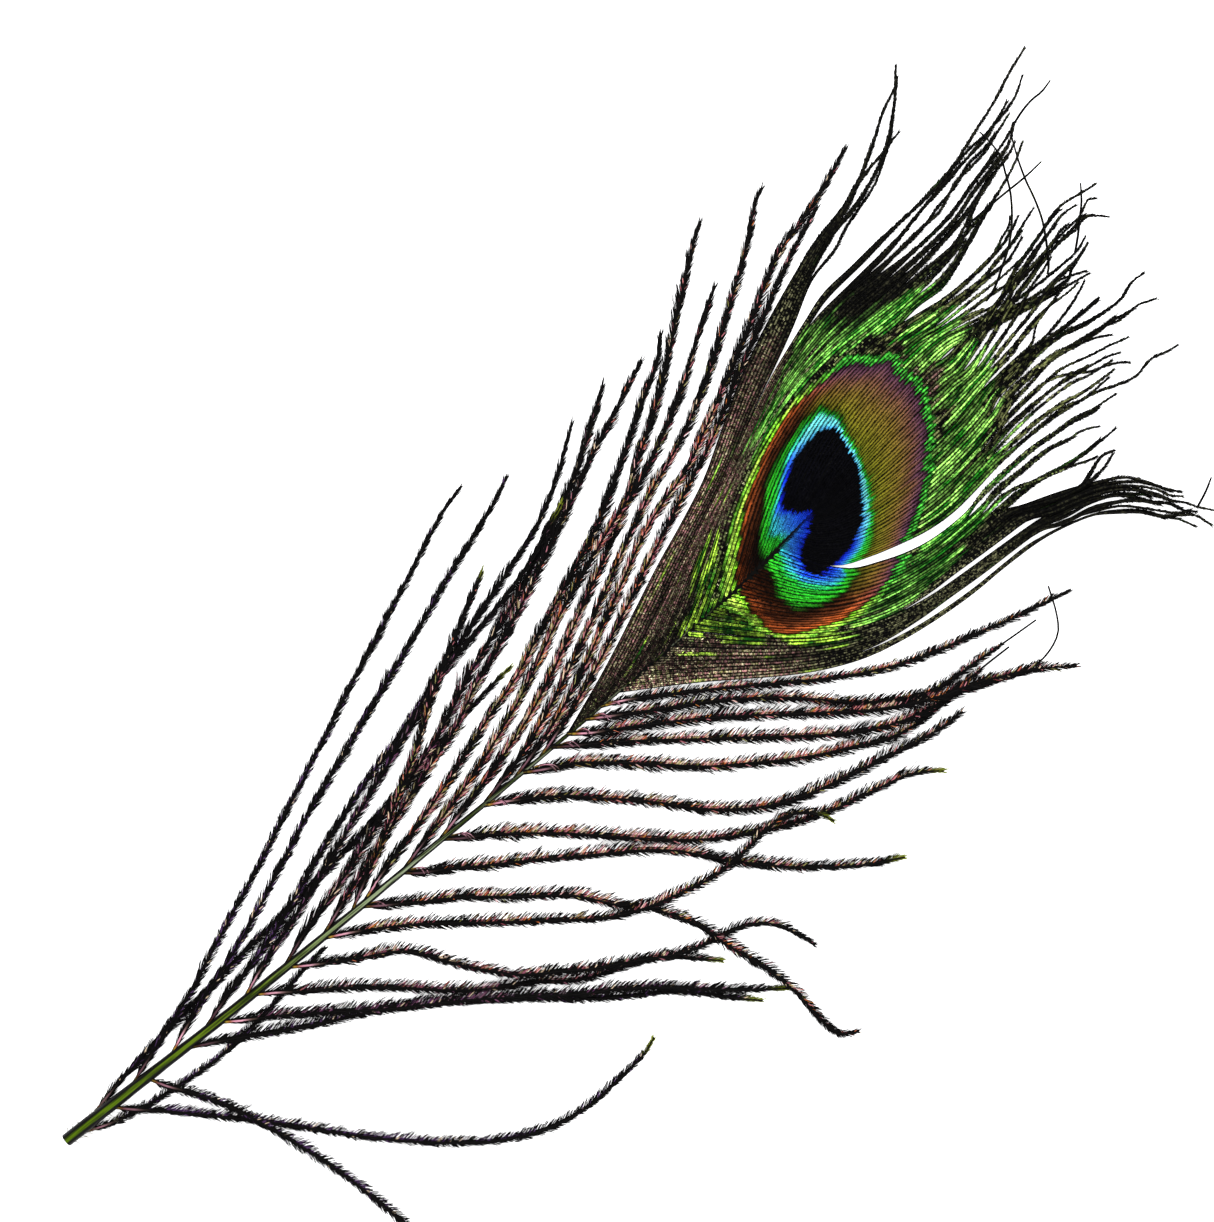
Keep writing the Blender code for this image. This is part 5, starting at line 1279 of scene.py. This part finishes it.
def ramus_colour(tree, barb, out, root):
    """A black ramus whose back is coloured near the shaft: partly its own pale colour, partly a painted
    highlight.
    """
    # colours of the ramus near the root: partly its own pale colour, partly a painted highlight
    horn = ramp(tree, sums(tree, "DIVIDE", root, PALE_LIT_RAMUS_LENGTH), [
        (0.0, (20, 16, 6)), (0.07, (150, 124, 44)), (0.16, (140, 84, 48)), (0.30, (196, 132, 152)),
        (0.52, (206, 150, 166)), (0.68, (130, 98, 100)), (0.80, (70, 56, 50)), (1.0, LOOSE_BLACK),
    ])
    # painted highlight: the colour shows only along the top of the ramus, and its sides stay black
    back = rise(tree, out, 0.025, 0.055, rise(tree, barb, 0.1, 0.8, 0.10, 1.0), 0.0)
    return blend(tree, back, screen_colour(*LOOSE_BLACK), horn)


def loose_finish():
    """The material of the loose barbs."""
    material, tree, shader = new_material("dark_barb_finish", specular=0.04)
    barbule, across, root = mark(tree, "barbule"), mark(tree, "across"), mark(tree, "root")
    out = sums(tree, "ABSOLUTE", across)
    leaf = fringe_colour(tree, barbule, across, out, root)
    ramus = ramus_colour(tree, mark(tree, "barb"), out, root)
    is_ramus = sums(tree, "GREATER_THAN", mark(tree, "part"), 0.5)
    tree.links.new(blend(tree, is_ramus, leaf, ramus), shader.inputs["Base Color"])
    tree.links.new(rise(tree, barbule, 0.0, 1.0, 0.42, 0.62), shader.inputs["Roughness"])
    return material


LOOSE_FINISH = loose_finish()
print("loose barbs' finish:", LOOSE_FINISH.name)

# %% [markdown]
# The shaft is horn. Its back is olive green at the cut end, paler and greyer halfway up, and nearly black
# inside the eye; the pale middle is partly its own colour and partly a painted highlight. Its sides are
# painted nearly black as painted shade, leaving a lit strip along the top, and fine streaks run along it. The
# mark "across" goes round its section, from -1 at one foot to 1 at the other.
# %% The finish of the shaft
GRAIN_SCALE = (9000, 260, 9000)  # finer across the shaft than along it
SHAFT_END = 165  # where along the feather its last colour lies


def shaft_finish():
    """The material of the shaft, and of the down beside its cut end."""
    material, tree, shader = new_material("shaft_horn_finish", specular=0.08, roughness=0.38)
    place = tree.nodes.new("ShaderNodeTexCoord")
    grain_place = tree.nodes.new("ShaderNodeMapping")
    grain_place.inputs["Scale"].default_value = GRAIN_SCALE
    tree.links.new(place.outputs["Object"], grain_place.inputs[0])
    grain = tree.nodes.new("ShaderNodeTexNoise")
    grain.inputs["Scale"].default_value = 0.35
    grain.inputs["Detail"].default_value = 4.0
    tree.links.new(grain_place.outputs[0], grain.inputs["Vector"])
    # the pale middle of the back is partly its own colour and partly a painted highlight
    back = ramp(tree, sums(tree, "DIVIDE", feather_place(tree)[1], SHAFT_END * METRES), [
        (0.0, (72, 98, 0)), (0.22, (84, 104, 16)), (0.42, (140, 152, 122)), (0.62, (100, 106, 86)),
        (0.80, (64, 68, 54)), (0.87, (12, 12, 10)), (1.0, (9, 10, 12)),
    ])
    streaked = blend(tree, rise(tree, grain.outputs[0], 0.40, 0.60), back, screen_colour(30, 42, 0))
    # painted shade: the sides of the section are near black, leaving a lit strip along the top
    edge = rise(tree, sums(tree, "ABSOLUTE", mark(tree, "across")), 0.15, 0.23)
    colour = blend(tree, edge, streaked, screen_colour(3, 3, 2))
    hair = sums(tree, "GREATER_THAN", mark(tree, "part"), 0.5)
    colour = blend(tree, hair, colour, screen_colour(96, 92, 74))
    tree.links.new(colour, shader.inputs["Base Color"])
    bump = tree.nodes.new("ShaderNodeBump")
    bump.inputs["Strength"].default_value = 0.5
    bump.inputs["Distance"].default_value = 0.08 * METRES
    tree.links.new(grain.outputs[0], bump.inputs["Height"])
    tree.links.new(bump.outputs[0], shader.inputs["Normal"])
    return material


SHAFT_FINISH = shaft_finish()
print("shaft's finish:", SHAFT_FINISH.name)

# %% [markdown]
# ## Putting a piece in its place
#
# Each finished mesh becomes an object that rides on the feather's one body and stands in for its solid.
# %% Hand over a piece
TRIANGLES = {}  # the number of them in each piece


def place_piece(name, mesh, material, node):
    """Makes an object of a mesh, in the place of a node of the solid model."""
    mesh.materials.append(material)
    piece = bpy.data.objects.new(name, mesh)
    bpy.context.scene.collection.objects.link(piece)
    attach(piece, "root")
    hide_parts(node)
    TRIANGLES[name] = len(mesh.polygons)


# %% [markdown]
# ## The shaft
#
# The shaft could be a curve object with a round bevel. Its section is flat underneath and rounded on top
# with a shallow groove, and it shrinks towards the eye, so it is lofted instead: the same outline at every
# station, scaled and moved, and joined to the next one. Its cut end is closed with a slightly sunken face.
# %% Loft the shaft
SHAFT_SIDES = 22  # points of its section
SHAFT_STEP = 1.6  # distance between two sections
FOOT_TURN = 118  # degrees from the top of its back round to either foot
GROOVE_DEPTH = 0.12
GROOVE_WIDTH = 0.16  # its half width on the mark "across"
CUT_SUNK = 0.25  # how far the middle of the cut end is sunk


def shaft_outline():
    """Points of the section at the cut end from one foot round the back to the other: across, x and z."""
    across = np.linspace(-1, 1, SHAFT_SIDES)
    turn = across * np.radians(FOOT_TURN)
    x = SHAFT_SIDE * np.sin(turn)
    z = SHAFT_HEIGHT * (0.42 + 0.58 * np.cos(turn))
    groove = GROOVE_DEPTH * np.exp(-((across / GROOVE_WIDTH) ** 2))
    return across, x, np.maximum(z - groove, 0.03)


def loft_shaft():
    """The shaft from its cut end to where it fades out in the eye."""
    weave = Weave()
    first, last = SHAFT[0][0], SHAFT[-1][0]
    stations = np.linspace(first, last, int((last - first) / SHAFT_STEP))
    middles, half_widths = shaft_at(stations)
    across, x, z = shaft_outline()
    scale = (half_widths / SHAFT_SIDE)[:, None]
    wave = 1 + 0.02 * np.sin(stations * 0.9)[:, None] * np.cos(across * 5)[None, :]
    y = np.broadcast_to(stations[:, None], (len(stations), len(x)))
    places = np.stack([middles[:, None] + x * scale * wave, y, z * scale * wave], axis=-1)
    rows, columns = places.shape[:2]
    column = np.arange(columns)
    beside_column = (column + 1) % columns
    row_start = np.arange(rows - 1)[:, None] * columns
    low, beside = (row_start + column).ravel(), (row_start + beside_column).ravel()
    triangles = np.stack([low, low + columns, beside + columns, low, beside + columns, beside], axis=-1)
    along = np.repeat(stations - first, columns)
    weave.add(places.reshape(-1, 3), triangles.reshape(-1, 3), np.repeat(stations[:-1] - first, 2 * columns),
              along=along, across=np.tile(across, rows), root=along)
    fan = np.stack([column, beside_column, np.full(columns, columns)], axis=-1)
    for end, sunk in ((0, CUT_SUNK), (rows - 1, 0.0)):
        middle = places[end].mean(axis=0) + [0, sunk, 0]
        end_along = stations[end] - first
        weave.add(np.vstack([places[end], middle]), fan, np.full(columns, end_along), along=end_along,
                  across=0.2)
    weave.next_barb(last - first)
    return weave


# %% Down at the foot of the shaft
DOWN_HAIRS = 70
DOWN_DRAWS = 900  # the number of its generator


def add_down(weave):
    """Short pale hairs beside the cut end, left from the down that grows there."""
    rng = chance_for(DOWN_DRAWS)
    for _ in range(DOWN_HAIRS):
        side = rng.choice([-1, 1])
        along = rng.uniform(-5.2, 3.5)
        middle, half_width = shaft_at(along)
        root = np.array([middle + side * half_width * 0.95, along, rng.uniform(0.5, 1.3)])
        reach = rng.uniform(0.7, 2.0)
        out = np.array([side * reach, reach * rng.uniform(0.2, 1.1), rng.uniform(-0.4, 0.5)])
        bend = np.array([rng.normal(0, 0.3), rng.normal(0, 0.3), -0.2])
        points = np.array([root, root + out * 0.5 + bend * 0.5, root + out + bend])
        points[:, 2] = np.maximum(points[:, 2], 0.1)
        path = Path(smooth_path(points, 6))
        grow_ramus(weave, path, (0.03, 0.025, 0.02, 0.012), rng.uniform(), 0.4)
        weave.next_barb(path.length)


shaft_weave = loft_shaft()
add_down(shaft_weave)
place_piece("stem", shaft_weave.mesh("stem"), SHAFT_FINISH, "shaft")
print("shaft:", TRIANGLES["stem"], "triangles")

# %% [markdown]
# ## The loose barbs
#
# Below the eye the barbs stand apart. Each is one piece: its ramus and a fringe on both sides. On the right
# the fringe is longer on the side facing the feather's tip, and beside the roots of the upper barbs stand a
# few curled barbules like tiny hooks.
# %% Grow a loose barb
BARB_POINTS = 90
LOOSE_SPACING = 0.115  # distance between two barbules of one side
LOOSE_LEAF = 0.14  # width of a barbule
LOOSE_RADII = (0.26, 0.22, 0.20, 0.17)
# Side: how far the barbules facing the tip lean off the barb in degrees, and those on the other side.
LEANS = {"left": (22, 19), "right": (44, 28)}
# The numbers of the barbs with yellow-green tips.
YELLOW_TIPS = {"left": (1, 5, 8), "right": (2, 4, 5, 6, 8, 10, 11)}
SIDES = {"left": -1, "right": 1}
# How rosy a barb's barbules are, by its number from the cut end.
ROSY_BY_NUMBER = {
    "left": [(1, 0.3), (6, 0.6), (9, 1.0), (14, 1.1)],
    "right": [(1, 0.5), (8, 0.7), (11, 1.0), (17, 1.0)],
}
PALING = {"left": 0.8, "right": 0.5}  # the share of that colour which is lost towards the tip
VIOLET_UNTIL = 8  # the number of the first barb with no violet at all
# Shares of a barb's length, and there the reach of its barbules and the width of the strip under it as shares
# of their greatest.
FRINGE_STOPS = np.array([0, 0.03, 0.10, 0.70, 0.93, 1])
FRINGE_REACH = np.array([0.55, 0.8, 1, 0.92, 0.62, 0.25])
STRIP_WIDTH = np.array([0.8, 0.9, 1, 0.95, 0.6, 0.0])
STRIP_SHARES = (0.34, 0.42)  # how much of the fringe the strip fills, towards the tip and on the other side


def loose_path(word, heights, points):
    """The middle line of a loose barb, from inside the shaft's edge to the tip."""
    side = SIDES[word]
    along = points[0][1]
    middle, half_width = shaft_at(along)
    flat = smooth_path([(middle + side * half_width * 0.8, along), *points[1:]], BARB_POINTS)
    height = smooth_heights(heights, np.linspace(0, 1, BARB_POINTS + 1))
    return Path(np.column_stack([flat, height]))


def grow_loose_barb(word, number, heights, points):
    """One loose barb with its fringes and the dark strip under it."""
    side = SIDES[word]
    rng = chance_for(side + 1, number)
    path = loose_path(word, heights, points)
    weave = Weave()
    barb = rng.uniform()
    tip_green = 0.9 if number in YELLOW_TIPS[word] else 0.0
    rosiness = float(np.interp(number, *zip(*ROSY_BY_NUMBER[word])))
    violet = float(np.clip((VIOLET_UNTIL - number) / 4, 0, 1))

    def marks(share):
        return {"green": tip_green * eased(share, 0.95, 1.0),
                "rosy": rosiness * (1 - PALING[word] * eased(share, 0.45, 0.8)),
                "violet": np.full(len(share), violet)}

    grow_ramus(weave, path, LOOSE_RADII, barb, 1.3, marks)
    bare_from = BARE_FROM.get((word, number), 1.0)
    stops = FRINGE_STOPS * [1, 1, 1, bare_from, bare_from, bare_from]
    tipward, rootward = (np.interp(path.travelled / path.length, stops, full * filled * STRIP_WIDTH)
                         for full, filled in zip(FRINGES[word][number], STRIP_SHARES))
    grow_underlayer_and_shade(weave, path, side, tipward, rootward, barb, depth=0.05)
    for facing, full, steepest in zip((1, -1), FRINGES[word][number], LEANS[word]):

        def reach(share, reaches=full * FRINGE_REACH):
            return np.interp(share, stops, reaches)

        def lean(share, steepest=steepest):
            return steepest * np.interp(share, [0, 0.08, 0.2, 0.8, 1], [0.6, 0.8, 1, 0.9, 0.5])

        grow_barbules(weave, path, side * facing, facing, LOOSE_SPACING, reach, lean, LOOSE_LEAF, barb, rng,
                      start=0.2, end=path.length * bare_from - 0.3, tuft=0.42, gather=1.0, hairs=0.15,
                      broad=0.7, marks=marks)
    weave.next_barb(path.length)
    return weave


# %% Hooks at the roots
# Waypoints of a curl of stiff barbules that stands beside a root, as offsets from the root.
HOOK = [(0.1, 1.2), (0.7, 2.6), (1.6, 3.5), (2.9, 3.6)]
# Barb on the right side: size of its hook.
HOOKED = {9: 0.7, 10: 0.8, 11: 1.0, 12: 0.8, 13: 1.15, 14: 0.8, 15: 0.7, 16: 0.75, 17: 0.6}
FILAMENTS = 4  # in each hook
HOOK_DRAWS = 700  # the first number of its generator


def add_hook(weave, number, along):
    """A few curved filaments beside the root of a barb."""
    rng = chance_for(HOOK_DRAWS, number)
    middle, half_width = shaft_at(along)
    for _ in range(FILAMENTS):
        size = HOOKED[number] * rng.uniform(0.8, 1.15)
        offsets = np.array(HOOK) * size + rng.normal(0, 0.08, (len(HOOK), 2))
        flat = offsets + [middle + half_width * 0.8, along]
        height = np.linspace(0.9, 1.3, len(HOOK)) + rng.normal(0, 0.1)
        path = Path(smooth_path(np.column_stack([flat, height]), 10))
        grow_ramus(weave, path, (0.10, 0.10, 0.08, 0.05), rng.uniform(), 0.5)
        weave.next_barb(path.length)


# %% All loose barbs
for word, barbs in (("left", LEFT_BARBS), ("right", RIGHT_BARBS)):
    for number, (heights, points) in barbs.items():
        name = f"{word}_barb_{number:02d}"
        woven = grow_loose_barb(word, number, heights, points)
        if word == "right" and number in HOOKED:
            add_hook(woven, number, points[0][1])
        place_piece(name, woven.mesh(name), LOOSE_FINISH, f"barb_{word}_{number:02d}")
print("loose barbs:", sum(count for name, count in TRIANGLES.items() if "_barb_" in name), "triangles")

# %% [markdown]
# ## The locks round the eye
#
# A barb of a lock runs between the lock's two lines until it reaches the strand that it clings to. From there
# on it follows the strand, and its distance from the strand shrinks, so that barbs gather into points as wet
# hair does.
# %% Paths of the barbs in a lock
EDGE_STEPS = 60  # steps that a line is cut into
JOIN_BEFORE = 3  # points of a line between the place where a barb leaves the lock and its strand's start
GATHER_WITHIN = 14.0  # distance over which barbs gather into their strand
GATHER_TO = 0.30  # what is left of their distance from it


def lock_line(name, side):
    """One line of a lock from the middle of the shaft to its end."""
    points = LINES[name]
    along = points[0][1]
    middle, half_width = shaft_at(along)
    return smooth_path([(middle + side * half_width * 0.1, along), *points[1:]], EDGE_STEPS)


def between(first, second, across, name):
    """The path that lies a share of the way across from the first line to the second. In a lock that
    has groups it moves to its place among them about halfway up."""
    moved = np.interp(across, *zip(*GROUPED.get(name, [(0, 0), (1, 1)])))
    share = across + (moved - across) * eased(np.linspace(0, 1, len(first)), 0.35, 0.55)
    return first + (second - first) * share[:, None]


def lock_barb(own, middle, waypoints, rng):
    """The flat path of one barb: its own way up the lock, then along its strand. middle is the way up the
    lock that leads to the strand."""
    tail = np.array(waypoints, float)
    nearest = int(np.argmin(np.linalg.norm(middle - tail[0], axis=1)))
    join = max(nearest - JOIN_BEFORE, 4)
    apart = own[join] - middle[join]
    gone = lengths_along(tail) + np.linalg.norm(middle[join] - tail[0])
    left = GATHER_TO + (1 - GATHER_TO) * (1 - eased(gone, 0, GATHER_WITHIN))
    wander = rng.normal(0, 0.16, tail.shape) * eased(gone, 0, GATHER_WITHIN)[:, None]
    stem = own[0:join + 1:4]
    if join % 4:
        stem = np.vstack([stem, own[join]])
    return np.vstack([stem, tail + apart * left[:, None] + wander])


def spacing_along(first, second, count):
    """How far apart the barbs of a lock lie, measured square to them, at each point of its lines."""
    heading = unit(np.gradient(0.5 * (first + second), axis=0))
    apart = second - first
    square = np.abs(apart[:, 0] * heading[:, 1] - apart[:, 1] * heading[:, 0])
    return square / count


# %% Colour marks of a barb in a lock
BARB_SHIFT = 0.20  # how far the edge of the pupil moves along a barb, from barb to barb
RIM_SHIFT = 0.42  # the same for the outer rings, which are more ragged
BARBULE_SHIFT = 0.12  # and from barbule to barbule


def colour_marks(path, parted, rng):
    """The zone and the washes of colour along a barb. They are the same right across it, so it is one stripe,
    or two with a dark line between them where it is parted."""
    offset = rng.normal(0, 1)

    def marks(share):
        along = share * path.length
        ragged = eased(zone_of(path.places(along)), 1.5, 3.0)
        moved = offset * (BARB_SHIFT + (RIM_SHIFT - BARB_SHIFT) * ragged)
        places = path.places(along + (moved + rng.normal(0, BARBULE_SHIFT, len(share))))
        return {"zone": zone_of(places), "green": wash(places, GREEN_PATCHES),
                "rosy": wash(places, ROSY_PATCHES), "parted": np.interp(along, path.travelled, parted)}

    return marks


def hair_marks(share):
    """The marks of a stray hair, which lies far outside the eye and has no colour of its own."""
    return {"zone": np.full(len(share), 99.0)}


# %% Path and widths of one barb in a lock
VANE_POINTS = 110
STRAND_LIFT = 0.45  # height between strands that cross
LEVELS = 3  # strands take turns on so many heights
LOWEST_BARB = 0.12  # no barb of a lock lies lower than this
OPEN_COVER = 1.3  # half width of the dark strip under a barb near the shaft, in half gaps between barbs
CLOSED_COVER = 1.5  # the same farther out
LEAST_STRIP = 0.22  # no strip is narrower than twice this outside the strands
OPEN_REACH = 1.2  # how far barbules reach outside the strands, in half gaps
STRAND_COVER = 0.6  # half width of the strip in the strands, as a share of the barbules' reach


def barb_path(own, middle, waypoints, heights, level, whole, rng):
    """The path of one barb in space. A barb that isn't whole ends a little short of its strand's tip."""
    flat = smooth_path(lock_barb(own, middle, waypoints, rng), VANE_POINTS)
    share = np.linspace(0, 1, VANE_POINTS + 1)
    lift = STRAND_LIFT * level * eased(share, 0.6, 0.8) * (1 - 0.5 * eased(share, 0.9, 1.0))
    height = smooth_heights(heights, share) + lift + rng.uniform(-0.08, 0.08)
    kept = 1.0 if whole else rng.uniform(0.88, 0.99)
    return Path(np.column_stack([flat, np.maximum(height, LOWEST_BARB)])[:int(VANE_POINTS * kept) + 1])


def barb_widths(path, half_gap, reaches, closed_from, strands_from):
    """How far a barb's barbules reach at each point of its path, and half the width of the strip under it."""
    along = path.points[:, 1]
    share = np.linspace(0, 1, VANE_POINTS + 1)[:len(along)]
    in_strand = eased(along, strands_from - 8, strands_from + 4)
    strand_reach = np.interp(share, [0, 0.7, 0.95, 1], [reaches[0], *reaches, 0.24])
    widths = OPEN_REACH * half_gap
    widths = widths + (strand_reach - widths) * in_strand
    cover = OPEN_COVER + (CLOSED_COVER - OPEN_COVER) * eased(along, closed_from - 12, closed_from + 4)
    strip = np.maximum(LEAST_STRIP, half_gap * cover)
    strip = strip + (STRAND_COVER * strand_reach - strip) * in_strand
    return widths, strip


# %% Grow a lock
VANE_SPACING = 0.12  # distance between two barbules of one side
VANE_LEAF = 0.13  # width of a barbule
VANE_TIP_RADIUS = 0.15
PARTED_GAP = (0.34, 0.42)  # from the smaller to the larger half gap a barb's stripe parts in two
BARB_SCATTER = 0.09  # how far a barb may lie off its even place, in gaps between barbs
SPREAD_DRAWS = 40  # numbers of the generators: of how barbs are spread, of the barbs and of the hairs
BARB_DRAWS = 50
HAIR_DRAWS = 800


def vane_lean(share):
    """How far barbules lean off the barb, in degrees."""
    return np.interp(share, [0, 0.5, 0.8, 1], [42, 40, 28, 22])


def grow_lock(name, index):
    """All barbs of a lock."""
    first_name, second_name, side, heights = LOCKS[name][:4]
    count, radii, reaches, (closed_from, strands_from) = BARBS_OF_LOCK[name]
    first, second = lock_line(first_name, side), lock_line(second_name, side)
    spacing = spacing_along(first, second, count)
    strands = STRANDS[name]
    weave = Weave()
    spread = chance_for(SPREAD_DRAWS + index).uniform(-BARB_SCATTER, BARB_SCATTER, count)
    positions = (np.arange(count) + 0.3 + spread) / (count - 0.4)
    chosen = [int(np.argmin([abs(across - position) for position, _ in strands])) for across in positions]
    longest = {min(range(count), key=lambda n: abs(positions[n] - position)) for position, _ in strands}
    for number in range(count):
        rng = chance_for(BARB_DRAWS + index, number)
        position, waypoints = strands[chosen[number]]
        own = between(first, second, positions[number], name)
        middle = between(first, second, position, name)
        level = chosen[number] % LEVELS
        path = barb_path(own, middle, waypoints, heights, level, number in longest, rng)
        half_gap = 0.5 * np.interp(path.travelled, lengths_along(own), spacing)
        marks = colour_marks(path, eased(half_gap, *PARTED_GAP), rng)
        barb = rng.uniform()
        grow_ramus(weave, path, (radii[0] * 0.8, *radii, VANE_TIP_RADIUS), barb, 1.6, marks)
        widths, strip = barb_widths(path, half_gap, reaches, closed_from, strands_from)
        grow_underlayer_and_shade(weave, path, side, strip, strip, barb)

        def reach(share, path=path, widths=widths):
            return np.interp(share * path.length, path.travelled, widths)

        for facing in (1, -1):
            grow_barbules(weave, path, side * facing, facing, VANE_SPACING, reach, vane_lean, VANE_LEAF, barb,
                          rng, tuft=0.4, gather=0.35, broad=0.68, marks=marks)
        weave.next_barb(path.length)
    return weave


def add_hairs(weave, name):
    """The stray hairs that grow from a lock."""
    for number, (lock, height, points) in enumerate(HAIRS):
        if lock == name:
            flat = smooth_path(points, 30)
            path = Path(np.column_stack([flat, np.full(len(flat), height)]))
            rng = chance_for(HAIR_DRAWS, number)
            grow_ramus(weave, path, (0.20, 0.22, 0.20, 0.15), rng.uniform(), 1.0, hair_marks)
            weave.next_barb(path.length)


# %% All locks
for index, (name, lock) in enumerate(LOCKS.items()):
    woven = grow_lock(name, index)
    add_hairs(woven, name)
    slot = lock[4]
    place_piece(f"vane_{name}", woven.mesh(f"vane_{name}"), VANE_FINISHES[slot], f"lock_{name}")
    print(name, "lock:", TRIANGLES[f"vane_{name}"], "triangles")
print("all pieces:", sum(TRIANGLES.values()), "triangles")

# %% [markdown]
# ## Table, light and camera
#
# The feather lies on a plain pale table that glows a little, like a light table. Together with two wide soft
# lamps and an even white sky this leaves it almost without shadows.
# %% The table
GLOW = 0.8  # strength of the table's own light


def table_finish():
    """Pale paper, faintly mottled."""
    material, tree, shader = new_material("table_paper", specular=0.2, roughness=0.8)
    grain = tree.nodes.new("ShaderNodeTexNoise")
    grain.inputs["Scale"].default_value = 900.0
    tint = blend(tree, rise(tree, grain.outputs[0], 0.3, 0.7), (0.90, 0.90, 0.91, 1), (0.93, 0.93, 0.93, 1))
    tree.links.new(tint, shader.inputs["Base Color"])
    shader.inputs["Emission Color"].default_value = (1, 1, 1, 1)
    shader.inputs["Emission Strength"].default_value = GLOW
    return material


bpy.ops.mesh.primitive_plane_add(size=4.0, location=(0, 0.12, 0))
table = bpy.context.object
table.name = "table"
table.data.materials.append(table_finish())
print("table:", round(table.dimensions.x, 1), "m wide")

# %% The light
SKY_STRENGTH = 0.85

world = bpy.data.worlds.new("pale_room")
bpy.context.scene.world = world
world.use_nodes = True
world.node_tree.nodes["Background"].inputs["Color"].default_value = (1, 1, 1, 1)
world.node_tree.nodes["Background"].inputs["Strength"].default_value = SKY_STRENGTH


def add_lamp(name, energy, size, place, target=(0, 0.13, 0)):
    """A square soft lamp that faces a target."""
    data = bpy.data.lights.new(name, "AREA")
    data.energy = energy
    data.size = size
    lamp = bpy.data.objects.new(name, data)
    lamp.location = place
    lamp.rotation_mode = "QUATERNION"
    lamp.rotation_quaternion = (Vector(target) - Vector(place)).to_track_quat("-Z", "Y")
    bpy.context.scene.collection.objects.link(lamp)


add_lamp("key_lamp", 11.0, 0.6, (-0.55, 0.55, 0.9))
add_lamp("fill_lamp", 4.0, 0.8, (0.7, -0.3, 0.9))
print("lamps:", ", ".join(light.name for light in bpy.data.lights))

# %% [markdown]
# The camera looks straight down and is turned so that the feather runs from the lower left to the upper
# right.
# %% The camera
PICTURE_HEIGHT = 1222 * 0.172  # what the picture shows from bottom to top: 1222 pixels of 0.172 mm
SENSOR = 36.0
LENS = 85.0
VIEW_MIDDLE = (-12.15, 123.57)  # the place on the feather under the camera
VIEW_TURN = 51.0  # degrees

camera_data = bpy.data.cameras.new("camera")
camera_data.lens = LENS
camera_data.sensor_width = SENSOR
camera_data.sensor_fit = "VERTICAL"
camera_data.sensor_height = SENSOR
camera = bpy.data.objects.new("camera", camera_data)
camera_height = PICTURE_HEIGHT * LENS / SENSOR
camera.location = (VIEW_MIDDLE[0] * METRES, VIEW_MIDDLE[1] * METRES, (camera_height + 1.0) * METRES)
camera.rotation_euler = (0, 0, math.radians(VIEW_TURN))
bpy.context.scene.collection.objects.link(camera)
bpy.context.scene.camera = camera
bpy.context.scene.view_settings.view_transform = "Standard"
print("camera:", round(camera_height), "mm above the table")
